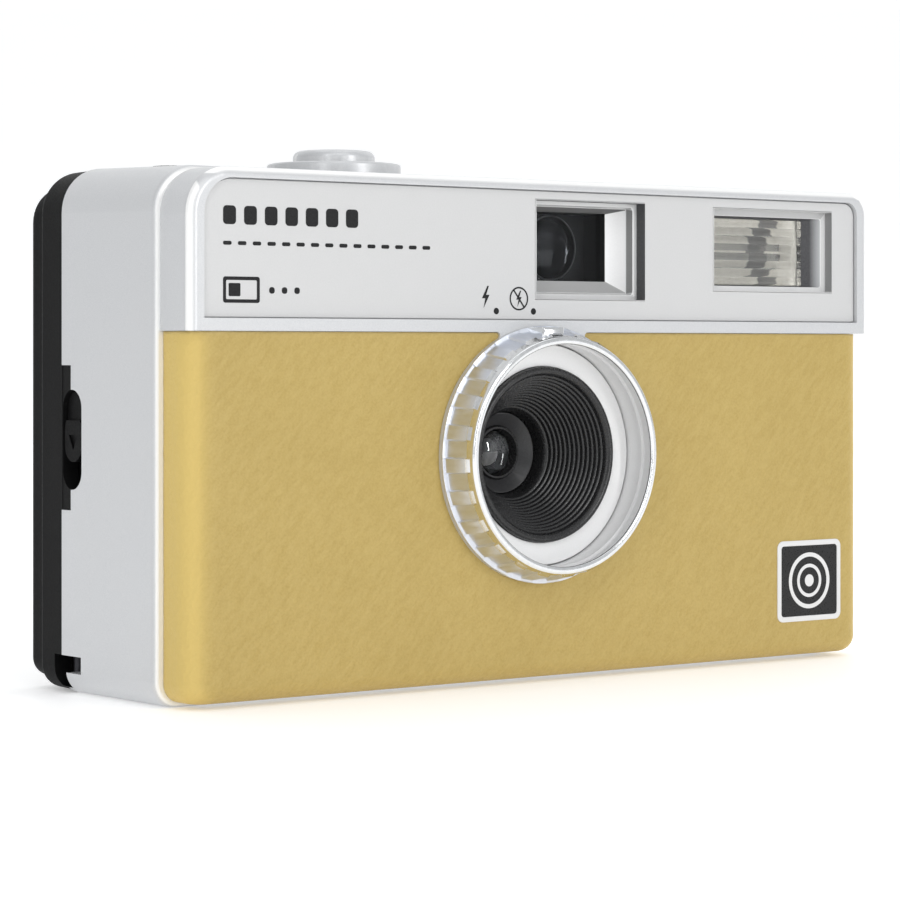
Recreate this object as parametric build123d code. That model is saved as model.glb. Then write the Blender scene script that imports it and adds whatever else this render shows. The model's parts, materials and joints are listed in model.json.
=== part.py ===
from build123d import *

import os
from math import cos, radians, sin

# A compact half-frame film camera. Millimetres, +X to the right as seen from the front, +Y to the back, +Z up.
# While it is drawn, depth 0 is the front rim of the silver cap and height 0 is the flat bottom. Each piece is
# moved by TO_ORIGIN at the end, which puts the origin at the middle of the bottom.

# Outside
BODY_HALF_FRONT = 54.44
BODY_HALF_REAR = 55.0
BODY_TOP_FRONT = 62.34
BODY_TOP_REAR = 62.85
RIB_Y = 6.17
SEAM_Y = 26.3
GROOVE_Y = 32.1
BACK_Y = 35.6
RING_FRONT_Y = -4.8
WALL = 1.6
INNER_HALF = 52.8
INNER_BOTTOM = 1.8
INNER_TOP = 60.7
OUTER_RADII = (5.5, 3.5, 3.0, 3.0)
GAP = 0.1
TO_ORIGIN = Pos(0, -(RING_FRONT_Y + BACK_Y) / 2, 0)

# Front
CAP_HALF = 53.7
CAP_TOP = 62.0
CAP_BOTTOM = 43.2
CAP_RADII = (5.5, 3.0, 0, 0)
BAR_TOP = 44.66
PLATE_TOP = 60.68
PLATE_HALF = 51.64
PLATE_Y = 0.6
PLATE_THICKNESS = 0.6
SKIN_HALF = 53.3
SKIN_Y = 0.3
SKIN_BOTTOM = 0.6
SKIN_THICKNESS = 0.5
SKIN_EDGE_R = 3.5
COVER_BACK_Y = 2.4

# Lens and film, on one optical axis
LENS = (-2.44, 28.17)
FOCAL_LENGTH = 22.0
FILM_Y = 31.0
GATE_WIDTH = 17.0
GATE_HEIGHT = 24.0
BOSS_R = 15.79
RING_FRONT_R = 14.49
RING_REAR_R = 15.3
RING_HOLE_R = 14.5
BEZEL_R = 13.6
CONE_R = 10.8
CONE_THROAT_R = 5.0
CONE_BACK_Y = 8.0
CONE_STEPS = 10
BLADE_PIVOT = (LENS[0], LENS[1] + 8.5)
SPRING_POST = (LENS[0] + 10.0, LENS[1] + 8.5)
RING_TURN_DEG = 19.3

# Windows in the face plate: left, right, bottom, top
FINDER = (-3.15, 14.63, 47.24, 59.57)
FINDER_INNER = (-0.1, 10.7, 49.7, 57.85)
FLASH = (26.28, 47.47, 48.6, 59.38)
FLASH_INNER = (26.9, 43.1, 49.5, 58.15)
EYEPIECE = (1.3, 9.3, 50.6, 57.0)
BADGE = (37.3, 48.75, 5.24, 15.88)

# Film transport, centres in X and Y
CASSETTE = (38.0, 21.2)
CASSETTE_R = 12.7
CASSETTE_HEIGHT = 48.0
WINDER_R = 10.0
SPOOL = (-36.0, 23.0)
FILM_ROLL_R = 10.0
WHEEL_R = 12.2
SPROCKET = (-19.0, 24.95)
SPROCKET_R = 5.9
FILM_HALF = 17.5
PERFORATION_HALF = 14.1

# Release, power and door
BUTTON = (-24.7, 13.0)
BUTTON_R = 5.0
BUTTON_TOP = 65.2
COLLAR_R = 8.15
NECK_R = 5.6
COUNTER = (-41.5, 16.0)
COUNTER_R = 7.0
BATTERY = (12.4, 7.4)
BATTERY_SPAN = (-24.7, 20.7)
BATTERY_R = 5.4
HINGE = (52.2, 33.8)
HINGE_R = 1.55
HINGE_PIN_R = 0.6
DOOR_HALF = 54.3
DOOR_BOTTOM = 1.4
DOOR_TOP = 61.0
DOOR_Y = 32.2
DOOR_WALL = 1.5
KNUCKLE_LOW = (4.0, 9.0)
KNUCKLE_HIGH = (53.0, 58.0)
SLOT_Y = (21.85, 26.2)
SLOT_Z = (24.4, 36.3)
LATCH_TAB_Z = (21.95, 39.2)
LATCH_TAB_Y = 24.25
RELEASE = (-33.0, 10.5)
SCREW_PLACES = ((-48.0, 16.0), (24.3, 11.0), (-30.0, 22.5), (24.3, 23.0))


def block(x, y, z):
    """A box between two bounds along each axis."""
    spans = [sorted(span) for span in (x, y, z)]
    centre = [(low + high) / 2 for low, high in spans]
    return Pos(*centre) * Box(*[high - low for low, high in spans])


def rod(axis, radius, span, at):
    """A cylinder along an axis between two bounds; at holds the other two coordinates, in X, Y, Z order."""
    length = span[1] - span[0]
    middle = (span[0] + span[1]) / 2
    if axis == "X":
        return Pos(middle, *at) * Rot(0, 90, 0) * Cylinder(radius, length)
    if axis == "Y":
        return Pos(at[0], middle, at[1]) * Rot(90, 0, 0) * Cylinder(radius, length)
    return Pos(at[0], at[1], middle) * Cylinder(radius, length)


def tube(axis, outer, inner, span, at):
    """A round tube; the bore runs past both ends."""
    return rod(axis, outer, span, at) - rod(axis, inner, (span[0] - 1, span[1] + 1), at)


def together(pieces):
    """Separate solids kept in one node."""
    return Part() + pieces


def facing(depth):
    """The plane at a depth that an outline in X and Z is drawn on."""
    return Plane(origin=(0, depth, 0), x_dir=(1, 0, 0), z_dir=(0, -1, 0))


def outline(bounds, radii=(0, 0, 0, 0)):
    """A rectangle in X and Z with its own radius at the top left, top right, bottom left and bottom right."""
    left, right, bottom, top = bounds
    shape = Pos((left + right) / 2, (bottom + top) / 2) * Rectangle(right - left, top - bottom)
    corners = ((left, top), (right, top), (left, bottom), (right, bottom))
    for (x, z), radius in zip(corners, radii):
        if radius > 0:
            corner = shape.vertices().sort_by_distance((x, z, 0))[0]
            shape = fillet(corner, radius)
    return shape


def along_y(sketch, start, end):
    """An outline in X and Z carried from one depth to another."""
    return extrude(facing(start) * sketch, amount=start - end)


def panel(bounds, depth, radii=(0, 0, 0, 0)):
    """A flat plate with rounded corners between two depths."""
    return along_y(outline(bounds, radii), *depth)


def funnel(front, front_y, back, back_y):
    """A solid that tapers from one rectangle to another."""
    return loft([facing(front_y) * outline(front), facing(back_y) * outline(back)], ruled=True)


def grown(bounds, by):
    """Window bounds moved outwards on all sides."""
    left, right, bottom, top = bounds
    return (left - by, right + by, bottom - by, top + by)


def turned(profile, at=LENS):
    """A ring turned about an axis along Y from points of radius and depth."""
    face = make_face(Polyline(*profile, close=True))
    drawn = Plane(origin=(at[0], 0, at[1]), x_dir=(1, 0, 0), z_dir=(0, 0, 1)) * face
    return revolve(drawn, Axis((at[0], 0, at[1]), (0, 1, 0)))


def coil(radius, wire, turns, span, at):
    """A helical spring along Z."""
    low, high = span
    path = Pos(at[0], at[1], low) * Helix(pitch=(high - low) / turns, height=high - low, radius=radius)
    section = Plane(origin=path @ 0, z_dir=path % 0) * Circle(wire)
    return sweep(section, path=path, is_frenet=True)


def stadium(y, z, x):
    """An upright slot through a side wall."""
    radius = (y[1] - y[0]) / 2
    middle = (y[0] + y[1]) / 2
    straight = block(x, y, (z[0] + radius, z[1] - radius))
    ends = [rod("X", radius, x, (middle, height)) for height in (z[0] + radius, z[1] - radius)]
    return straight + ends[0] + ends[1]


def shell_outline(half, top):
    """The shell seen from the front, a hair too low, so that its flat bottom can be cut true."""
    return outline((-half, half, -0.05, top), OUTER_RADII)


def battery_opening():
    """The hole in the bottom that the cell goes in through."""
    depth = (BATTERY[0] - BATTERY_R, BATTERY[0] + BATTERY_R)
    return block(BATTERY_SPAN, depth, (-1, INNER_BOTTOM + 0.1))


def body_shell():
    """The silver band round the middle, open at the front and the back."""
    front = facing(RIB_Y) * shell_outline(BODY_HALF_FRONT, BODY_TOP_FRONT)
    rear = facing(SEAM_Y) * shell_outline(BODY_HALF_REAR, BODY_TOP_REAR)
    shell = loft([front, rear], ruled=True)
    rim = shell.edges().group_by(Axis.Y)[0]
    shell = fillet(rim, 0.65)
    shell -= block((-60, 60), (0, 40), (-1, 0))
    inside = (-INNER_HALF, INNER_HALF, INNER_BOTTOM, INNER_TOP)
    shell -= panel(inside, (RIB_Y - 1, SEAM_Y + 1), (3.5, 2, 1, 1))
    side = (-57, -INNER_HALF + 1)
    shell -= block(side, (LATCH_TAB_Y, SEAM_Y + 1), LATCH_TAB_Z)
    shell -= stadium(SLOT_Y, SLOT_Z, side)
    shell -= block(side, (22.0, SEAM_Y + 1), (2.6, 4.64))
    shell -= block(side, (25.3, SEAM_Y + 1), (0.7, 2.7))
    shell -= rod("Z", NECK_R + 0.05, (59, 64), BUTTON)
    shell -= rod("Z", COLLAR_R + 0.05, (62.2, 64), BUTTON)
    shell -= rod("Z", 2.5, (59, 64), (COUNTER[0] - 4.5, COUNTER[1]))
    shell -= rod("Z", WINDER_R + 0.3, (-1, 2), CASSETTE)
    shell -= rod("Z", 2.4, (-1, 2), RELEASE)
    shell -= battery_opening()
    shell -= rod("Y", 0.55, (6.5, 18.4), (BATTERY_SPAN[1] - 1.0, 0.9))
    for x, y in SCREW_PLACES:
        shell -= rod("Z", 0.95, (-1, 2), (x, y))
        shell -= rod("Z", 1.75, (-1, 0.9), (x, y))
    return shell


def lower_block(inset):
    """The body's lower front, which the leatherette wraps, made smaller by inset."""
    half = SKIN_HALF - inset
    low = SKIN_BOTTOM + inset
    shape = block((-half, half), (SKIN_Y + inset, RIB_Y), (low, CAP_BOTTOM))
    uprights = [e for e in shape.edges().filter_by(Axis.Z) if e.center().Y < RIB_Y - 1]
    shape = fillet(uprights, SKIN_EDGE_R - inset)
    corners = shape.edges().filter_by(Axis.Y).group_by(Axis.Z)[0]
    return fillet(corners, 2.2 - inset)


def boss_outline(radius):
    """The round seat of the selector ring, with the small flares that join it to the cap."""
    top_strip = Pos(LENS[0], CAP_BOTTOM + 0.6) * Rectangle(20, 1.2)
    shape = Pos(*LENS) * Circle(radius) + top_strip
    crossing = (radius**2 - (CAP_BOTTOM - LENS[1]) ** 2) ** 0.5
    for side in (-1, 1):
        spot = (LENS[0] + side * crossing, CAP_BOTTOM, 0)
        shape = fillet(shape.vertices().sort_by_distance(spot)[0], 0.45)
    return shape


def front_cover():
    """The front moulding: the proud silver cap above, the skin's seat below, and the ring's boss."""
    cap_bounds = (-CAP_HALF, CAP_HALF, CAP_BOTTOM, CAP_TOP)
    cap = panel(cap_bounds, (0, RIB_Y), CAP_RADII)
    front_edges = cap.edges().group_by(Axis.Y)[0].group_by(Axis.Z)
    rounded = [e for group in front_edges[1:] for e in group]
    cap = fillet(rounded, 1.1)
    cover = cap + lower_block(SKIN_THICKNESS)
    spigot_bounds = (-INNER_HALF + GAP, INNER_HALF - GAP, 20, INNER_TOP - GAP)
    cover += panel(spigot_bounds, (RIB_Y, RIB_Y + 1.2), (3.4, 1.9, 0, 0))
    hollow_top = (-51.6, 51.6, 19, 59.5)
    cover -= panel(hollow_top, (RIB_Y - 0.5, RIB_Y + 3), (3, 1.5, 0, 0))
    cover -= panel((-51.4, 51.4, 2.4, CAP_BOTTOM - 1), (COVER_BACK_Y, RIB_Y + 0.1))
    cover -= panel((-51.4, 51.4, CAP_BOTTOM - 1.1, 59.3), (COVER_BACK_Y, RIB_Y))
    recess = (-PLATE_HALF, PLATE_HALF, BAR_TOP, PLATE_TOP)
    cover -= panel(recess, (-1, PLATE_Y + PLATE_THICKNESS), (4, 1.8, 0, 0))
    for window in (FINDER, FLASH):
        cover -= panel(grown(window, 0.05), (-1, RIB_Y))
    cover += along_y(boss_outline(BOSS_R), 0, COVER_BACK_Y) + rod("Y", BOSS_R, (-0.25, COVER_BACK_Y), LENS)
    cover -= rod("Y", RING_HOLE_R, (-2, RIB_Y), LENS)
    return cover


def leatherette():
    """The thin skin glued over the lower front and round its edges."""
    skin = lower_block(0) - lower_block(SKIN_THICKNESS)
    skin -= block((-60, 60), (-5, 20), (CAP_BOTTOM - 0.05, CAP_BOTTOM + 1))
    skin -= along_y(boss_outline(BOSS_R + 0.02), -5, 5)
    return skin - panel(BADGE, (-1, SKIN_Y + 0.25), (1, 1, 1, 1))


def face_plate():
    bounds = (-PLATE_HALF + 0.15, PLATE_HALF - 0.15, BAR_TOP + 0.15, PLATE_TOP - 0.15)
    plate = panel(bounds, (PLATE_Y, PLATE_Y + PLATE_THICKNESS), (3.9, 1.7, 0, 0))
    for window in (FINDER, FLASH):
        plate -= panel(grown(window, 0.05), (-1, 3))
    return plate


def finder_bezel():
    """The stepped funnel round the finder's front lens."""
    frame = panel(FINDER, (0.5, 6.0))
    frame -= panel(grown(FINDER, -0.6), (0, 1.3))
    frame -= funnel((-2.3, 12.9, 48.2, 58.6), 1.2, FINDER_INNER, 4.2)
    frame -= panel(FINDER_INNER, (4.1, 7))
    return frame


def finder_front_lens():
    """A weak diverging lens: flat in front and hollowed behind."""
    lens = panel(grown(FINDER_INNER, -0.05), (4.3, 6.0))
    middle = ((FINDER_INNER[0] + FINDER_INNER[1]) / 2, (FINDER_INNER[2] + FINDER_INNER[3]) / 2)
    return lens - Pos(middle[0], 17.3, middle[1]) * Sphere(12)


def finder_tube():
    """The black tunnel between the finder's two lenses."""
    tunnel = funnel((-1.6, 12.2, 48.6, 59.0), 6.1, (1.4, 9.2, 50.6, 57.0), 30.6)
    return tunnel - funnel(FINDER_INNER, 6.0, (2.4, 8.2, 51.6, 56.0), 30.7)


def finder_eye_lens():
    lens = panel(grown(EYEPIECE, -1.0), (32.2, 33.6))
    middle = ((EYEPIECE[0] + EYEPIECE[1]) / 2, (EYEPIECE[2] + EYEPIECE[3]) / 2)
    return lens & Pos(middle[0], 25.6, middle[1]) * Sphere(8)


def eyepiece_frame():
    frame = panel(EYEPIECE, (30.7, 35.2), (1, 1, 1, 1))
    frame -= panel(grown(EYEPIECE, -0.98), (30, 34.0))
    return frame - funnel(grown(EYEPIECE, -1.3), 33.9, grown(EYEPIECE, -0.5), 35.3)


def flash_bezel():
    """The shallow tray round the flash's window, deeper towards the right."""
    frame = panel(FLASH, (0.5, 5.0))
    frame -= panel(grown(FLASH, -0.5), (0, 1.2))
    frame -= funnel((26.8, 45.9, 49.3, 58.5), 1.1, FLASH_INNER, 3.1)
    return frame - panel(FLASH_INNER, (3.0, 6))


def flash_lens():
    """The clear ribbed panel that spreads the flash's light."""
    lens = panel(grown(FLASH_INNER, -0.05), (2.7, 4.0))
    bottom, top = FLASH_INNER[2:]
    ribs = 8
    pitch = (top - bottom) / ribs
    for index in range(ribs):
        height = bottom + pitch * (index + 0.5)
        lens -= rod("X", 0.35, (26, 44), (4.05, height))
    return lens


def flash_reflector():
    """The bent bright trough behind the flash tube."""
    left, right, bottom, top = grown(FLASH_INNER, -0.1)
    floor = (left + 1.6, right - 1.6, bottom + 2.2, top - 2.2)
    trough = funnel((left, right, bottom, top), 4.1, floor, 7.1)
    return trough - funnel(grown(FLASH_INNER, -0.35), 4.05, grown(floor, -0.25), 6.85)


def xenon_tube():
    height = (FLASH_INNER[2] + FLASH_INNER[3]) / 2
    return rod("X", 0.9, (28.6, 41.4), (5.6, height))


def badge():
    """A small square plate let into the skin, with a plain raised disc and rim of its own."""
    plate = panel(BADGE, (SKIN_Y - 0.15, SKIN_Y + 0.25), (1, 1, 1, 1))
    plate -= panel(grown(BADGE, -0.7), (-1, SKIN_Y), (0.6, 0.6, 0.6, 0.6))
    middle = ((BADGE[0] + BADGE[1]) / 2, (BADGE[2] + BADGE[3]) / 2)
    return plate + tube("Y", 3.4, 2.6, (SKIN_Y - 0.1, SKIN_Y + 0.1), middle)


def selector_ring():
    """The turning ring: a ribbed outside, a rolled front lip and a skirt that runs in the boss."""
    ring = turned([
        (RING_REAR_R, -0.35), (RING_FRONT_R + 0.1, RING_FRONT_Y + 0.9), (RING_FRONT_R, RING_FRONT_Y + 0.25),
        (RING_FRONT_R - 0.25, RING_FRONT_Y), (RING_FRONT_R - 0.75, RING_FRONT_Y), (13.5, RING_FRONT_Y + 0.4),
        (13.5, -2.9), (13.75, -2.9), (13.75, 3.15), (RING_HOLE_R - 0.06, 3.15), (RING_HOLE_R - 0.06, -0.35),
    ])
    ribs = 30
    for index in range(ribs):
        angle = radians(360 / ribs * index)
        spot = (LENS[0] + 15.55 * cos(angle), LENS[1] + 15.55 * sin(angle))
        ring -= rod("Y", 0.75, (RING_FRONT_Y + 1.1, 0), spot)
    pointer = block((LENS[0] - 2.7, LENS[0] + 0.7), (-3.1, -0.4), (LENS[1] + 14.4, LENS[1] + 15.6))
    return ring + pointer


def ring_retainer():
    """The washer snapped on the ring's skirt behind the cover."""
    return tube("Y", 16.6, RING_HOLE_R - 0.06, (COVER_BACK_Y + GAP, 3.1), LENS)


def lens_bezel():
    """The flat silver ring round the cone, fixed to the lens mount."""
    return tube("Y", BEZEL_R, CONE_R, (0, 1.0), LENS)


def lens_cone():
    """The black baffle that narrows towards the lens in steps."""
    step_depth = (CONE_BACK_Y + 0.8) / CONE_STEPS
    step_in = (CONE_R - 0.6 - CONE_THROAT_R) / CONE_STEPS
    profile = [(CONE_R, 1.05), (BEZEL_R, 1.05), (BEZEL_R, CONE_BACK_Y), (3.6, CONE_BACK_Y), (3.6, 7.2)]
    radius = CONE_THROAT_R
    for index in range(CONE_STEPS):
        depth = CONE_BACK_Y - 0.8 - step_depth * index
        profile.append((radius, depth))
        radius += step_in
        profile.append((radius, depth - step_depth * 0.35))
    profile.append((radius, -0.8))
    profile.append((CONE_R - 0.02, -0.8))
    profile.append((CONE_R - 0.02, 1.05))
    return turned(profile[1:])


def lens_barrel():
    """The black cell that holds both lens elements."""
    barrel = tube("Y", 3.55, 2.4, (6.4, 12.0), LENS)
    barrel -= rod("Y", 2.95, (6.0, 8.6), LENS)
    return barrel - rod("Y", 2.95, (10.4, 13.0), LENS)


def dome(radius, sag, front_y, thickness, at=LENS):
    """A lens with a curved front and a flat back."""
    curve = (radius**2 + sag**2) / (2 * sag)
    body = rod("Y", radius, (front_y, front_y + thickness), at)
    return body & Pos(at[0], front_y + curve, at[1]) * Sphere(curve)


def front_element():
    return dome(2.9, 0.9, 7.0, 1.6)


def rear_element():
    return dome(2.9, 0.5, 10.45, 1.2)


def shutter_plate():
    """The plate that carries the aperture, the blade's pivot and the spring's posts."""
    plate = panel((-18.0, 9.8, 16.4, 41.0), (12.1, 12.7), (1, 1, 1, 1))
    plate -= rod("Y", 1.2, (12, 13), LENS)
    plate += rod("Y", 0.8, (12.65, 13.9), BLADE_PIVOT)
    plate += rod("Y", 0.5, (12.65, 13.9), SPRING_POST)
    for x in (-16.5, 8.3):
        for z in (18.0, 39.4):
            plate += rod("Y", 1.0, (8.1, 12.15), (x, z))
    return plate


def shutter_blade():
    """The thin blade that covers the aperture until the release kicks it aside."""
    blade = panel((LENS[0] - 2.6, LENS[0] + 2.6, LENS[1] - 2.6, BLADE_PIVOT[1]), (12.9, 13.1), (1, 1, 2, 2))
    blade += rod("Y", 1.9, (12.9, 13.1), BLADE_PIVOT)
    blade += panel((BLADE_PIVOT[0], BLADE_PIVOT[0] + 4.2, BLADE_PIVOT[1] - 0.8, BLADE_PIVOT[1] + 0.8), (12.9, 13.1))
    return blade - rod("Y", 0.84, (12, 14), BLADE_PIVOT)


def shutter_spring():
    """A small extension spring that pulls the blade shut, drawn as its closed outer tube."""
    return rod("X", 0.5, (BLADE_PIVOT[0] + 4.5, SPRING_POST[0] - 0.6), (13.4, SPRING_POST[1]))


def flash_capacitor():
    can = rod("Z", 4.4, (17.0, 44.0), (17.0, 19.0))
    can = chamfer(can.edges(), 0.4)
    leads = [rod("Z", 0.35, (43.9, 47.0), (x, 19.0)) for x in (15.0, 19.0)]
    return can + leads


def flash_board():
    """The flash's circuit board, standing across the body above the gate's right side."""
    board = block((11.6, 22.6), (12.6, 13.8), (16.0, 51.0))
    return board + block((12.4, 15.4), (13.8, 14.2), (22, 25))


def trigger_transformer():
    bobbin = rod("Z", 2.6, (25.5, 33.5), (19.5, 9.9))
    for height in (25.5, 32.7):
        bobbin += rod("Z", 2.65, (height, height + 0.8), (19.5, 9.9))
    return bobbin + block((18.0, 21.0), (12.3, 12.6), (27, 31)) + block((19, 20), (11.5, 12.4), (28, 30))


def with_screw_posts(moulding, places):
    """A chassis moulding with a hollow post under it for each case screw."""
    for x, y in places:
        moulding += rod("Z", 1.9, (INNER_BOTTOM + 0.05, 9.0), (x, y))
        moulding -= rod("Z", 0.95, (0, 8.5), (x, y))
    return moulding


def cassette_chamber():
    """The right part of the black chassis, which holds the film's cassette."""
    low = LENS[1] - CASSETTE_HEIGHT / 2
    high = LENS[1] + CASSETTE_HEIGHT / 2
    walls = block((24.2, 51.5), (7.45, 30.8), (low - 1.2, high + 0.8))
    walls -= rod("Z", CASSETTE_R + 0.2, (low, high), CASSETTE)
    walls -= block((25.1, 50.9), (CASSETTE[1], 32), (low, high))
    walls -= rod("Z", 2.55, (low - 2, low + 1), CASSETTE)
    return with_screw_posts(walls, SCREW_PLACES[1::2])


def button_guide():
    """The shelf on the chassis that the release button's stem slides through."""
    x, y = BUTTON
    return block((x - 3.6, x + 3.6), (y - 3.6, 30.8), (47.4, 48.8))


def stem_hole():
    return rod("Z", 1.55, (44, 50), BUTTON)


def takeup_chamber():
    """The left part of the black chassis, round the take-up spool."""
    low = LENS[1] - FILM_HALF - 1.2
    high = LENS[1] + FILM_HALF + 1.2
    walls = block((-50.0, -25.0), (12.0, 30.8), (low - 1.2, high + 1.2))
    walls -= rod("Z", FILM_ROLL_R, (low, high), SPOOL)
    walls -= block((SPOOL[0] - FILM_ROLL_R, SPOOL[0] + FILM_ROLL_R), (SPOOL[1], 32), (low, high))
    walls -= rod("Z", 2.05, (high - 1, high + 2), SPOOL)
    walls -= rod("Z", 1.55, (low - 2, low + 1), SPOOL)
    walls -= block((BUTTON[0] - 3.6, -20), (BUTTON[1] - 3.6, 32), (47.4, 50)) + stem_hole()
    return with_screw_posts(walls, SCREW_PLACES[0::2])


def gate_section():
    """The middle of the chassis: the light box, the sprocket's well and the bay for the flash parts."""
    half_width = GATE_WIDTH / 2
    half_height = GATE_HEIGHT / 2
    rail_low = LENS[1] - FILM_HALF - 0.7
    body = block((-25.0, 24.2), (14.2, 30.8), (13.6, 47.4)) + button_guide()
    body += block((-25.0, 24.2), (29, 30.8), (rail_low, 13.6))
    for side in (-1, 1):
        height = LENS[1] + side * (FILM_HALF + 0.4)
        body += block((-25.0, 24.2), (29, FILM_Y + 0.15), (height - 0.3, height + 0.3))
    gate = (LENS[0] - half_width, LENS[0] + half_width, LENS[1] - half_height, LENS[1] + half_height)
    entry = (LENS[0] - 5, LENS[0] + 5, LENS[1] - 7, LENS[1] + 7)
    body -= funnel(entry, 14.1, gate, 30.9)
    body -= stem_hole()
    body -= rod("Z", SPROCKET_R + 0.35, (13.0, 43.6), SPROCKET)
    body -= rod("Z", 1.25, (13.0, 48.0), SPROCKET)
    return body - block((10.4, 23.2), (14.0, 29.6), (14.8, 48))


def takeup_spool():
    """The slotted core that the film winds on to, with its shaft up to the advance wheel."""
    low = LENS[1] - FILM_HALF
    high = LENS[1] + FILM_HALF
    spool = rod("Z", 4.5, (low - 0.9, high + 0.9), SPOOL)
    for height in (low - 0.9, high + 0.1):
        spool += rod("Z", 6.5, (height, height + 0.8), SPOOL)
    spool += rod("Z", 1.5, (low - 2.2, low), SPOOL)
    spool += rod("Z", 2.0, (high, 50.0), SPOOL)
    return spool - block((SPOOL[0] - 0.6, SPOOL[0] + 0.6), (SPOOL[1] + 1, SPOOL[1] + 5), (low + 3, high - 3))


def advance_wheel():
    """The thumbwheel, whose edge stands in a slot of the back."""
    wheel = rod("Z", WHEEL_R, (50.0, 55.0), SPOOL)
    wheel = chamfer(wheel.edges(), 0.5)
    grips = 36
    for index in range(grips):
        angle = radians(360 / grips * index)
        spot = (SPOOL[0] + (WHEEL_R + 0.2) * cos(angle), SPOOL[1] + (WHEEL_R + 0.2) * sin(angle))
        wheel -= rod("Z", 0.55, (49, 56), spot)
    return wheel + rod("Z", 2.5, (55, 56.5), SPOOL)


def counter_dial():
    dial = rod("Z", COUNTER_R, (58.4, 59.1), COUNTER)
    return dial + rod("Z", 1.0, (57.2, 59.6), COUNTER)


def counter_window():
    """The clear dome over the frame counter's number."""
    spot = (COUNTER[0] - 4.5, COUNTER[1])
    window = rod("Z", 2.45, (60.0, 62.75), spot)
    top = window.edges().group_by(Axis.Z)[-1]
    return fillet(top, 0.3) + rod("Z", 3.2, (60.0, 60.65), spot)


def sprocket_shaft():
    """The toothed shaft that the film's perforations drive."""
    shaft = rod("Z", 1.2, (14.2, 48.6), SPROCKET)
    shaft += rod("Z", 2.6, (14.6, 43.2), SPROCKET)
    teeth = 8
    for side in (-1, 1):
        height = LENS[1] + side * PERFORATION_HALF
        shaft += rod("Z", SPROCKET_R - 0.9, (height - 1.0, height + 0.9), SPROCKET)
        for index in range(teeth):
            tooth = Pos(SPROCKET_R - 0.95, 0, height) * Box(1.9, 1.1, 1.2)
            shaft += Pos(*SPROCKET, 0) * Rot(0, 0, 360 / teeth * (index + 0.5)) * tooth
    return shaft


def shutter_collar():
    collar = tube("Z", COLLAR_R, BUTTON_R + 0.1, (62.2, 63.6), BUTTON)
    top = collar.edges().group_by(Axis.Z)[-1]
    collar = fillet(top, 0.35)
    return collar + tube("Z", NECK_R, BUTTON_R + 0.1, (60.0, 62.3), BUTTON)


def shutter_button():
    head = rod("Z", BUTTON_R, (61.0, BUTTON_TOP), BUTTON)
    head = fillet(head.edges().group_by(Axis.Z)[-1], 0.9)
    return head + rod("Z", 1.5, (46.2, 61.1), BUTTON)


def button_spring():
    return coil(2.3, 0.25, 6, (49.2, 60.6), BUTTON)


def release_button():
    """The small button in the bottom that frees the film for rewinding."""
    button = rod("Z", 2.3, (0.3, 3.2), RELEASE)
    return button + rod("Z", 3.2, (INNER_BOTTOM + 0.1, 2.6), RELEASE) + rod("Z", 1.2, (3.1, 7.2), RELEASE)


def release_spring():
    return coil(1.9, 0.2, 4, (3.5, 7.6), RELEASE)


def battery_holder():
    """The open-bottomed trough that the cell lies in."""
    span = (BATTERY_SPAN[0] + 0.1, BATTERY_SPAN[1] - 0.1)
    y, z = BATTERY
    trough = block(span, (y - BATTERY_R - 0.7, y + BATTERY_R + 0.7), (INNER_BOTTOM + 0.05, z + BATTERY_R + 0.8))
    inner = (span[0] + 0.8, span[1] - 0.8)
    trough -= rod("X", BATTERY_R, inner, BATTERY)
    return trough - block(inner, (y - BATTERY_R, y + BATTERY_R), (0, z))


def battery_contacts():
    """The flat contact at one end and the sprung one at the other."""
    y, z = BATTERY
    left, right = BATTERY_SPAN[0] + 0.9, BATTERY_SPAN[1] - 0.9
    flat = block((right - 0.3, right), (y - 3.5, y + 3.5), (z - 3.5, z + 3.5))
    pad = block((left, left + 0.3), (y - 3.5, y + 3.5), (z - 3.5, z + 3.5))
    return together([flat, pad + rod("X", 1.5, (left + 0.2, left + 1.2), BATTERY)])


def battery_door():
    """The bottom lid over the cell, hinged at its right end."""
    y = BATTERY[0]
    lid = block((BATTERY_SPAN[0] + 0.2, BATTERY_SPAN[1] - 1.9), (y - BATTERY_R + 0.15, y + BATTERY_R - 0.15), (0.15, 1.45))
    lid += block((BATTERY_SPAN[0] + 0.2, BATTERY_SPAN[0] + 1.0), (y - 2, y + 2), (1.4, 1.75))
    barrel_x = BATTERY_SPAN[1] - 1.0
    lid += block((barrel_x - 1.5, barrel_x), (y - 3.0, y + 3.0), (0.35, 1.45))
    lid += rod("Y", 0.7, (y - BATTERY_R + 0.15, y + BATTERY_R - 0.15), (barrel_x, 0.9))
    return lid + rod("Y", 0.5, (6.7, 18.2), (barrel_x, 0.9))


def case_screws():
    """Four cross-head screws that hold the shell to the chassis."""
    screws = []
    for x, y in SCREW_PLACES:
        screw = rod("Z", 0.9, (0.4, 8.0), (x, y)) + rod("Z", 1.7, (0.1, 0.85), (x, y))
        for turn in (0, 90):
            screw -= Pos(x, y, 0.25) * Rot(0, 0, turn) * Box(2.2, 0.4, 0.5)
        screws.append(screw)
    return together(screws)


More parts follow.
